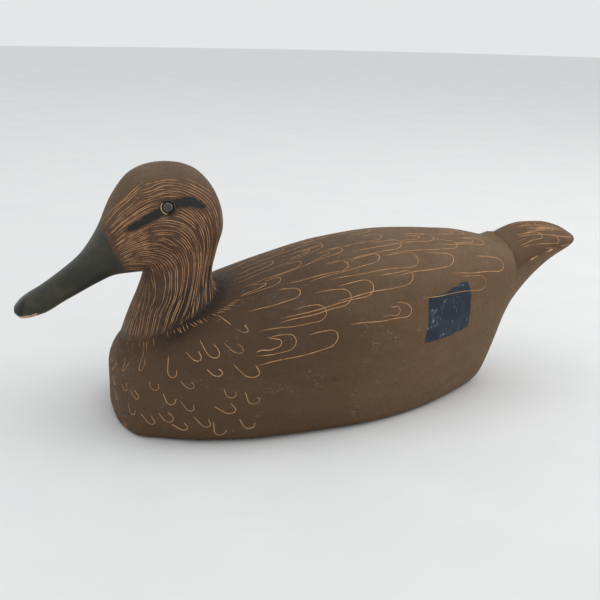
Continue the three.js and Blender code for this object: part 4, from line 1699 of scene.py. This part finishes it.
@dataclass
class HeadComb:
    """Fine combed lines that sweep from the bill over the cheek and down the neck, on both sides and the nape.

    The guides are lines of the side view from the throat up to the crown. A place between them is given by s, from the
    first guide to the last, and t, from the bill to the neck's foot. The strokes being drawn are held in marks.
    """

    head: Head
    seat: NeckSeat
    seed: int = 11
    marks: Scratches | None = None
    teeth: int = 42
    group: tuple[int, int] = (3, 6)
    reach: tuple[float, float] = (0.13, 0.34)
    drift: float = 0.011
    bend: float = 0.0045
    width: tuple[float, float] = (0.36, 0.66)
    neck_start: float = 0.45
    neck_width: float = 0.85
    missing: tuple[float, float] = (0.08, 0.2)
    crowded_span: tuple[float, float] = (0.1, 0.62)
    crowded_last: float = 0.5
    cells: int = 40
    guides: tuple[Pairs, ...] = (
        ((-142, 109), (-136, 108), (-130, 106.5), (-126, 103), (-125.5, 96), (-128, 85), (-131.5, 73), (-135, 62)),
        ((-145.5, 117), (-136, 120.5), (-126, 120.5), (-118, 115), (-115, 103), (-117, 91), (-121, 79), (-125, 66)),
        ((-151, 127), (-137, 137), (-121, 141), (-106, 136), (-98, 121), (-97, 104), (-101, 88), (-107, 74)),
        ((-154, 134), (-141, 149), (-124, 160), (-104, 161), (-90, 147), (-85, 124), (-88, 102), (-93, 80)),
        ((-156, 138), (-145, 154), (-128, 168.5), (-103, 172.5), (-81, 160), (-73.5, 137), (-77.5, 110), (-82, 86)),
    )

    def __post_init__(self) -> None:
        """Start the hand's own randomness and space the fan of lines evenly."""
        self.chance = random.Random(self.seed)
        self.rows = np.array(self.guides, float)
        self.grid = np.linspace(0, 1, self.cells + 1)
        self.even = np.array([self.even_row(t) for t in self.grid])

    def spot(self, s: float, t: float) -> np.ndarray:
        """The place in the side view at s and t."""
        return flowing(flowing(self.rows, s), t)

    def even_row(self, t: float) -> np.ndarray:
        """Space s by real distance across the fan.

        Args:
            t: How far along the lines.

        Returns:
            The values of s that lie at even distances.
        """
        along = np.array([self.spot(s, t) for s in self.grid])
        walked = np.r_[0, np.cumsum(np.linalg.norm(np.diff(along, axis=0), axis=1))]
        return np.interp(self.grid, walked / walked[-1], self.grid)

    def evenly(self, share: float, t: float) -> np.ndarray:
        """Find a place in the side view by real distance across the fan.

        Args:
            share: Share of the way from the throat to the crown.
            t: How far along the lines.

        Returns:
            The place.
        """
        at = min(max(t, 0), 1) * self.cells
        low = min(int(at), self.cells - 1)
        row = self.even[low] * (low + 1 - at) + self.even[low + 1] * (at - low)
        return self.spot(float(np.interp(min(max(share, 0), 1), self.grid, row)), t)

    def free(self, x: float, z: float) -> bool:
        """Ask whether a line may cross a place of the side view.

        Args:
            x: Its station.
            z: Its height.

        Returns:
            False over the eye, the eye stripe and the bill.
        """
        eye_x, eye_z = self.head.eye
        off_eye = math.hypot(x - eye_x, z - eye_z) > 6.2
        off_stripe = float(self.head.stripe_depth(np.array([x]), np.array([z]))[0]) < -0.5
        off_bill = x > float(self.head.bill_at(z)) + 0.4 or z < 95
        return off_eye and off_stripe and off_bill

    def comb_side(self, side: Side) -> None:
        """Comb one side, a few teeth at a time, from the bill to the neck's foot.

        Every third tooth is left out where the lines run closest together.

        Args:
            side: The side.
        """
        chance, tooth = self.chance, 0
        while tooth < self.teeth:
            group = chance.randint(*self.group)
            t = -0.02 + chance.uniform(0, 0.06)
            while t < 0.99:
                reach = chance.uniform(*self.reach)
                way = chance.gauss(0, self.drift), chance.gauss(0, self.bend)
                for k in range(tooth, min(tooth + group, self.teeth)):
                    share = (k + 0.5 + chance.uniform(-0.22, 0.22)) / self.teeth
                    start, end = t + chance.uniform(-0.015, 0.03), t + reach + chance.uniform(-0.035, 0.02)
                    on_neck, crowded = start > self.neck_start, k % 3 == 1
                    width = chance.uniform(*self.width) * (self.neck_width if on_neck else 1.0)
                    if chance.random() < self.missing[on_neck] or (crowded and start > self.crowded_last):
                        continue
                    first, last = self.crowded_span if crowded else (0.0, 1.0)
                    self.tooth(side, share, (max(start, first), min(end, last)), way, width)
                t += reach - chance.uniform(0.0, 0.05)
            tooth += group

    def tooth(
        self, side: Side, share: float, span: tuple[float, float], way: tuple[float, float], width: float
    ) -> None:
        """Draw one tooth's line.

        Args:
            side: The side it is on.
            share: Where it lies across the fan.
            span: Its start and end as values of t.
            way: How far it drifts and bends across the flow.
            width: Its width.
        """
        if span[1] - span[0] < 0.03:
            return
        length = float(np.linalg.norm(self.evenly(share, span[1]) - self.evenly(share, span[0])))
        steps = max(int(length / 1.3), 4)
        looks: list[Look | None] = []
        for t in np.linspace(*span, steps):
            off = (t - span[0]) / (span[1] - span[0]) - 0.5
            x, z = self.evenly(share + way[0] * off + way[1] * math.sin(off * 7), t)
            looks.append(side_look(x, z, side) if self.free(x, z) else None)
        self.marks.stroke(looks, width)

    def round_neck(self) -> None:
        """Comb the front of the neck and the nape, which the side strokes don't reach."""
        chance = self.chance
        for low, high, start, end in ((60, 100, -34, 34), (84, 150, 146, 214)):
            for row in range(3):
                for angle in np.arange(start, end, 3.9):
                    z0 = low + (high - low) * (row + chance.uniform(-0.2, 0.2)) / 3
                    z1 = z0 + (high - low) * chance.uniform(0.25, 0.42)
                    turn = angle + chance.uniform(-1.1, 1.1)
                    looks = [self.neck_look(z, turn + 2 * math.sin(z / 9)) for z in np.arange(z0, min(z1, high), 1.4)]
                    if chance.random() > 0.12:
                        self.marks.stroke(looks, chance.uniform(0.4, 0.7))

    def neck_look(self, z: float, angle: float) -> Look:
        """Look at the neck or the nape from close outside; angle 0 is the front."""
        middle = (float(self.seat.front_at(z)) + float(self.seat.back_at(z))) / 2 if z < 125 else -100.0
        return level_look(middle, z, angle, 42)

    def build(self, skin: Skin) -> Object:
        """Comb the whole head and neck.

        Args:
            skin: The head's surface.

        Returns:
            The piece.
        """
        self.marks = Scratches("head_comb_lines", skin)
        for side in Side:
            self.comb_side(side)
        self.round_neck()
        return self.marks.finish(ScratchedWood("combed_wood", clinging=0.35), "painted_head")


@dataclass
class BodyFeathers:
    """Long loops on the back, hooks on the breast, narrow loops on the tail and ticks round the neck's foot.

    A loop of the back is placed by its closed end: station, and degrees from the top. A hook is placed by its degrees
    round the breast from the front, and its height. A loop of the tail is given by station, distance from the middle,
    width and length. A fan of ticks is given by its first and last degree round the neck's foot, and its length.
    The strokes being drawn are held in marks.
    """

    seed: int = 5
    marks: Scratches | None = None
    back_loops: Pairs = (
        (-39, 1), (-2, 4), (41, 8), (79, 14), (112, 5), (-24, 20), (8, 17), (50, 21), (96, 22), (122, 17), (-42, 34),
        (5, 34), (29, 32), (56, 35), (86, 35), (130, 36), (-34, 49), (-2, 56), (16, 52), (49, 47), (112, 49),
        (-21, 63), (44, 65), (-44, 76), (-15, 76),
    )  # fmt: skip
    tail_loops: tuple[tuple[float, float, float, float], ...] = (
        (204, 5, 7, 34), (202, 15, 6.5, 30), (190, 10, 7, 26), (189, 20, 6, 24), (176, 17, 6, 16), (177, 3, 7, 17),
    )  # fmt: skip
    hooks: Pairs = (
        (8, 37), (28, 43), (40, 34), (50, 49), (52, 32), (64, 41), (74, 51), (73, 32), (87, 62), (96, 65), (96, 53),
        (83, 44), (83, 28), (102, 38), (101, 27), (110, 53), (111, 33), (110, 14), (114, 78), (107, 67), (61, 15),
        (71, 19), (79, 13), (91, 16), (98, 10), (37, 6), (12, 8), (24, 20), (48, 20), (18, 30),
    )  # fmt: skip
    tick_fans: tuple[Triple, ...] = ((6, 44, 8), (58, 92, 6.5), (100, 124, 7))
    tail_lines: int = 22
    back_middle: float = 50
    back_radius: float = 70
    back_range: tuple[float, float] = (-66, 151)
    breast_middle: float = -100
    breast_radius: float = 58
    foot_middle: float = -94
    foot_half: tuple[float, float] = (42, 41)

    def __post_init__(self) -> None:
        """Start the hand's own randomness."""
        self.chance = random.Random(self.seed)

    def on_back(self) -> None:
        """Scratch the loops of the back, a mirrored set on each side of the middle row."""
        for side in reversed(Side):
            for x, angle in self.back_loops:
                if angle > 3 or side is Side.RIGHT:
                    self.loop(x, side * angle, side)

    def loop(self, x: float, angle: float, side: Side) -> None:
        """Scratch one loop of the back, its long leg toward the flank, sometimes a second stroke inside it.

        Args:
            x: Station of its closed end.
            angle: Degrees of its closed end from the top.
            side: The flank that it leans to.
        """
        chance = self.chance
        first, last = self.back_range
        lean = math.radians(chance.uniform(1, 9))
        sizes = [(chance.uniform(9, 13), chance.uniform(34, 62), 0.0)]
        if chance.random() < 0.3:
            sizes.append((5.5, chance.uniform(10, 16), 7.0))
        for width, long, back in sizes:
            outline = feather(long * chance.uniform(0.1, 0.5), long, width, chance.uniform(-1.0, 2.5), 9)
            wave = chance.uniform(0, 6)
            looks: list[Look | None] = []
            for n, (u, v) in enumerate(outline):
                along = x - back + u * math.cos(lean) + v * math.sin(lean)
                down = -v * math.cos(lean) - u * math.sin(lean) + 0.35 * math.sin(n * 0.5 + wave)
                turned = angle + side * math.degrees(down / self.back_radius)
                looks.append(round_look(along, turned, self.back_middle) if first < along < last else None)
            self.marks.stroke(looks, chance.uniform(0.5, 0.72))

    def on_breast(self) -> None:
        """Scratch the hooks of the breast in staggered rows round both sides."""
        for side in reversed(Side):
            for angle, z in self.hooks:
                self.hook(side * angle, z, side)

    def hook(self, angle: float, z: float, side: Side) -> None:
        """Scratch one hook, its closed end low and toward the rear.

        Args:
            angle: Its degrees round the breast.
            z: Its height.
            side: The side it is on.
        """
        chance = self.chance
        lean = math.radians(chance.uniform(-88, -38))
        long = chance.uniform(3.0, 8.0)
        short, width, flare = long * chance.uniform(0.05, 0.6), chance.uniform(4.2, 6.6), chance.uniform(-0.8, 1.0)
        outline = feather(short, long, width, flare, 7)
        looks: list[Look | None] = []
        for u, v in outline:
            forward = u * math.cos(lean) - v * math.sin(lean)
            rise = u * math.sin(lean) + v * math.cos(lean)
            turned = angle + side * math.degrees(forward / self.breast_radius)
            looks.append(level_look(self.breast_middle, z + rise, turned, 150) if z + rise > 3 else None)
        self.marks.stroke(looks, chance.uniform(0.5, 0.8))

    def on_tail(self) -> None:
        """Scratch narrow loops and long lines on the tail, seen from above."""
        chance = self.chance
        for side in Side:
            for x, y, width, long in self.tail_loops:
                outline = feather(long * chance.uniform(0.6, 0.9), long, width * chance.uniform(0.8, 1.15), 0.6, 9)
                spread = math.radians(-6)
                looks: list[Look | None] = []
                for u, v in outline:
                    ax, ay = x + u * math.cos(spread) - v * math.sin(spread), y + v + u * math.sin(-spread) * 0.3
                    looks.append(top_look(ax, side * ay) if ax > 155 else None)
                self.marks.stroke(looks, chance.uniform(0.5, 0.75))
            for _ in range(self.tail_lines):
                y, x = chance.uniform(0.5, 25), chance.uniform(155, 186)
                length, slant = chance.uniform(8, 22), chance.uniform(-0.1, 0.03)
                looks = [top_look(x + d, side * (y + d * slant)) for d in np.arange(0, length, 1.5)]
                self.marks.stroke(looks, chance.uniform(0.38, 0.6))

    def on_shoulder(self) -> None:
        """Scratch fans of short ticks on the body just outside the neck's foot."""
        chance = self.chance
        for side in Side:
            for start, end, reach in self.tick_fans:
                angle = float(start)
                while angle < end:
                    self.tick(angle, side, reach * chance.uniform(0.65, 1.1))
                    angle += chance.uniform(2.4, 3.6)

    def tick(self, angle: float, side: Side, length: float) -> None:
        """Scratch one tick outward from the neck's foot.

        Args:
            angle: Its degrees round the foot from the breast.
            side: The side it is on.
            length: Its length.
        """
        a = math.radians(angle)
        curl = self.chance.uniform(0.02, 0.05)
        looks: list[Look | None] = []
        for d in np.arange(0, length, 1.1):
            reach = 1.02 + d / 42
            turned = a + curl * d * 0.35
            x = self.foot_middle - self.foot_half[0] * reach * math.cos(turned)
            y = side * self.foot_half[1] * reach * math.sin(turned)
            looks.append(top_look(x, y))
        self.marks.stroke(looks, self.chance.uniform(0.45, 0.7))

    def build(self, skin: Skin) -> list[Object]:
        """Scratch the whole body.

        Args:
            skin: The body's surface.

        Returns:
            One piece for each part of it.
        """
        made = []
        parts = (("back_feather_lines", self.on_back), ("breast_feather_lines", self.on_breast),
                 ("tail_feather_lines", self.on_tail), ("shoulder_tick_lines", self.on_shoulder))  # fmt: skip
        for name, draw in parts:
            self.marks = Scratches(name, skin)
            draw()
            wood = ScratchedWood(name.replace("lines", "wood"), clinging=0.25)
            made.append(self.marks.finish(wood, "painted_body"))
        return made


# ---- eyes, line tie and fastenings ----
@dataclass
class Eyes:
    """Two glass eyes, each set in a collar of putty."""

    head: Head
    radius: float = 4.1
    ball: float = 4.4
    proud: float = 2.0
    collar: float = 5.3
    depth: float = 4.0
    gap: float = 0.3

    def build(self) -> list[Object]:
        """Make both eyes and their collars.

        Returns:
            The pieces.
        """
        glass, putty = EyeGlass("eye_glass").build(), Putty("eye_putty").build()
        made = []
        for side in Side:
            label = side.name.lower()
            made.append(self.dress(self.glass(side), glass, f"eye_{label}"))
            made.append(self.dress(self.putty(side), putty, f"eye_putty_{label}"))
        return made

    def glass(self, side: Side) -> Object:
        """Blow one glass dome with a flat back.

        Args:
            side: The side it is on.

        Returns:
            The bare piece.
        """
        place, outward = self.head.eye_place(side)
        floor = -self.depth + self.gap + 1
        start = math.acos(self.radius / self.ball)
        profile = [(0.0, floor), (self.radius - 1, floor), (self.radius - 0.3, floor + 0.3), (self.radius, floor + 1)]
        for a in np.linspace(start, math.pi / 2, 16):
            profile.append((self.ball * math.cos(a), self.proud - self.ball + self.ball * math.sin(a)))
        profile[-1] = (0.0, self.proud)
        eye = lathe(profile, 48, place, outward).mesh_object(f"eye_glass_{side.name.lower()}")
        away = positions(eye.data) / MM - place
        along = away @ outward
        note(eye.data, "rim", np.linalg.norm(away - along[:, None] * outward, axis=1) / self.radius)
        return eye

    def putty(self, side: Side) -> Object:
        """Press one collar of putty round the glass, uneven as a thumb leaves it and bare on its lower front.

        Args:
            side: The side it is on.

        Returns:
            The bare piece.
        """
        place, outward = self.head.eye_place(side)
        inner, low = self.radius + 0.08, -self.depth + self.gap
        crest = [(inner, 0.7), (inner + 0.2, 0.8), (inner + 0.5, 0.55), (self.collar, -0.1)]
        profile = [(inner, low), *crest, (self.collar, low)]
        collar = lathe(profile, 64, place, outward).mesh_object(f"eye_collar_{side.name.lower()}")
        co = positions(collar.data)
        away = co / MM - place
        around = np.arctan2(away[:, 2], -away[:, 0])
        along = away @ outward
        lump = (0.12 * np.sin(3 * around + 1) + 0.08 * np.sin(7 * around)) * (along > 0)
        collar.data.vertices.foreach_set("co", (co + lump[:, None] * outward * MM).ravel())
        lower_front = np.clip(np.cos(around + 0.35) * 1.3, 0, 1)
        note(collar.data, "bare", lower_front * (along > 0.45))
        return collar

    def dress(self, piece: Object, finish: Material, node: str) -> Object:
        """Give a piece its finish and its place in the frame.

        Args:
            piece: The piece.
            finish: Its finish.
            node: The frame's node that it replaces.

        Returns:
            The same piece.
        """
        shade(piece, 60)
        piece.data.materials.append(finish)
        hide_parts(node)
        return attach(piece, "decoy")


@dataclass
class LineTie:
    """A brass staple in the bottom board and the ring that swings on it, for the anchor line."""

    hinge_x: float = -88
    ring_z: float = 4.4
    ring_radius: float = 9
    ring_wire: float = 1.3
    staple_wire: float = 1.1
    staple_half: float = 3.2
    staple_top: float = 17
    staple_bend: float = 1.6
    gap: float = 0.3

    def staple(self) -> Shell:
        """Bend the staple.

        Returns:
            Its wire, both legs up.
        """
        bend, half = self.staple_bend, self.staple_half
        low = self.ring_z - self.ring_wire - self.gap - self.staple_wire
        leg = [(-half, z) for z in np.linspace(self.staple_top, low + bend, 8)[:-1]]
        for t in np.linspace(0, math.pi / 2, 8):
            leg.append((-half + bend - bend * math.cos(t), low + bend - bend * math.sin(t)))
        front = np.array([(self.hinge_x + x, 0.0, z) for x, z in leg])
        rear = front[::-1] * [-1, 1, 1] + [2 * self.hinge_x, 0, 0]
        return wire(np.vstack([front, rear]), self.staple_wire)

    def ring(self) -> Shell:
        """Bend the ring.

        Returns:
            A round wire that closes on itself, lying level.
        """
        count, sides = 72, 20
        a = np.linspace(0, 2 * math.pi, count, endpoint=False)
        x = self.hinge_x + self.ring_radius * (1 + np.cos(a))
        circle = np.column_stack([x, self.ring_radius * np.sin(a), np.full(count, self.ring_z)])
        out = ((circle - circle.mean(0)) / self.ring_radius)[:, None]
        b = np.linspace(0, 2 * math.pi, sides, endpoint=False)[:, None]
        points = circle[:, None] + self.ring_wire * (np.cos(b) * out + np.sin(b) * [0, 0, 1.0])
        faces = []
        for r in range(count):
            here, there = r * sides, (r + 1) % count * sides
            for i in range(sides):
                j = (i + 1) % sides
                faces.append((here + i, here + j, there + j, there + i))
        return Shell(points.reshape(-1, 3), faces)

    def build(self) -> list[Object]:
        """Make the ring and the staple.

        Returns:
            The pieces.
        """
        brass = OldMetal("brass", (0.58, 0.4, 0.16), (0.13, 0.1, 0.055), 0.32, 0.6).build()
        ring = self.ring().mesh_object("line_ring_bent")
        staple = self.staple().mesh_object("line_staple_bent")
        for piece, node, rides in ((ring, "line_ring", "ring"), (staple, "line_staple", "decoy")):
            shade(piece, 60)
            piece.data.materials.append(brass)
            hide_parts(node)
            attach(piece, rides)
        return [ring, staple]


@dataclass
class PlainParts:
    """The frame's own parts that stay in view, each with a fitting finish."""

    def build(self) -> list[str]:
        """Dress the parts.

        Returns:
            The names of the parts.
        """
        screws = [f"board_screw_{i}" for i in range(1, 7)] + ["ballast_screw_front", "ballast_screw_rear"]
        sets = (
            (OldMetal("screw_brass", (0.5, 0.34, 0.14), (0.1, 0.08, 0.05), 0.4, 0.75).build(), screws),
            (BareWood("board_pine").build(), ["bottom_board"]),
            (BareWood("dowel_beech", (0.5, 0.33, 0.18), (0.3, 0.18, 0.09)).build(), ["head_dowel"]),
            (OldMetal("lead_grey", (0.2, 0.2, 0.2), (0.33, 0.32, 0.3), 0.55, 0.45).build(), ["ballast_weight"]),
            (OldMetal("old_steel", (0.36, 0.36, 0.37), (0.12, 0.07, 0.045), 0.35, 0.5).build(),
             ["head_screw", "head_screw_washer", "eye_wire_left", "eye_wire_right"]),
        )  # fmt: skip
        done = []
        for finish, names in sets:
            for name in names:
                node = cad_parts[name]
                if not node.material_slots:
                    node.data.materials.append(finish)
                for held in node.material_slots:
                    held.material = finish
                done.append(name)
        return done


# ---- studio ----
@dataclass(frozen=True)
class SoftLamp:
    """One square soft lamp that faces the decoy; its sizes are in metres and its power in watts."""

    name: str
    at: Triple
    size: float
    power: float
    colour: Colour
    aim: Triple = (0.03, 0, 0.08)

    def hang(self) -> None:
        """Put the lamp in the scene."""
        data = bpy.data.lights.new(self.name, "AREA")
        data.shape, data.size, data.energy, data.color = "SQUARE", self.size, self.power, self.colour
        made = bpy.data.objects.new(self.name, data)
        made.location = self.at
        made.rotation_euler = (Vector(self.aim) - Vector(self.at)).to_track_quat("-Z", "Y").to_euler()
        bpy.context.scene.collection.objects.link(made)


@dataclass
class Studio:
    """A pale floor, soft light from above and behind, and the camera, which is placed in metres and degrees."""

    camera_at: Triple = (-0.2132, -0.6352, 0.2815)
    azimuth: float = -17.68
    elevation: float = 17.4
    roll: float = 1.12
    lens: float = 56.14
    floor_radius: float = 6000
    floor_drop: float = 0.4
    floor_dull: Colour = (0.765, 0.78, 0.785)
    floor_bright: Colour = (0.795, 0.805, 0.805)
    sky: Colour = (0.98, 0.99, 1.0)
    sky_strength: float = 0.8
    lamps: tuple[SoftLamp, ...] = (
        SoftLamp("overhead", (0.3, 0.1, 1.9), 2.2, 9, (1.0, 0.98, 0.95)),
        SoftLamp("window", (1.3, -0.2, 0.9), 0.8, 4.5, (1.0, 0.99, 0.97)),
    )

    def camera(self) -> None:
        """Set up the camera."""
        data = bpy.data.cameras.new("camera")
        data.sensor_width, data.lens = 36.0, self.lens
        data.clip_start, data.clip_end = 0.01, 50
        eye = bpy.data.objects.new("camera", data)
        a, e, r = (math.radians(v) for v in (self.azimuth, self.elevation, self.roll))
        back = Vector((math.sin(a) * math.cos(e), -math.cos(a) * math.cos(e), math.sin(e)))
        right = (-back).cross(Vector((0, 0, 1))).normalized()
        up = right.cross(-back)
        across, along = right * math.cos(r) + up * math.sin(r), up * math.cos(r) - right * math.sin(r)
        turn = Matrix((across, along, back)).transposed().to_4x4()
        eye.matrix_world = Matrix.Translation(self.camera_at) @ turn
        bpy.context.scene.collection.objects.link(eye)
        bpy.context.scene.camera = eye

    def floor(self) -> None:
        """Lay the pale floor."""
        a = np.linspace(0, 2 * math.pi, 64, endpoint=False)
        points = self.floor_radius * np.column_stack([np.cos(a), np.sin(a), np.zeros(64)]) - [0, 0, self.floor_drop]
        ground = Shell(points, [tuple(range(64))]).mesh_object("floor")
        mixed = Recipe("floor_paint")
        tone = mixed.mix(mixed.band(mixed.noise(90, 4, 0.6), 0.3, 0.7), self.floor_dull, self.floor_bright)
        ground.data.materials.append(mixed.finish(tone, 0.75, mixed.bump(mixed.noise(4, 3, 0.6), 0.05)))

    def build(self) -> None:
        """Set up the light."""
        scene = bpy.context.scene
        scene.view_settings.view_transform = "Standard"
        world = bpy.data.worlds.new("room")
        world.use_nodes = True
        sky = world.node_tree.nodes["Background"]
        sky.inputs["Color"].default_value = (*self.sky, 1.0)
        sky.inputs["Strength"].default_value = self.sky_strength
        scene.world = world
        for lamp in self.lamps:
            lamp.hang()


def main() -> None:
    """Build the decoy and report each piece."""
    studio = Studio()
    studio.camera()
    studio.floor()
    studio.build()
    seat = NeckSeat()
    body = Body(seat)
    head = Head(seat, body)
    made = [body.build(), head.build()]
    body_skin, head_skin = Skin(made[0]), Skin(made[1])
    made.append(HeadComb(head, seat).build(head_skin))
    made += BodyFeathers().build(body_skin)
    made += Eyes(head).build()
    made += LineTie().build()
    for piece in made:
        LOG.info("%s: %d faces", piece.name, len(piece.data.polygons))
    for name in PlainParts().build():
        LOG.info("%s: frame part with a new finish", name)


if __name__ == "__main__":
    logging.basicConfig(level=logging.INFO, format="%(name)s: %(message)s")
    main()
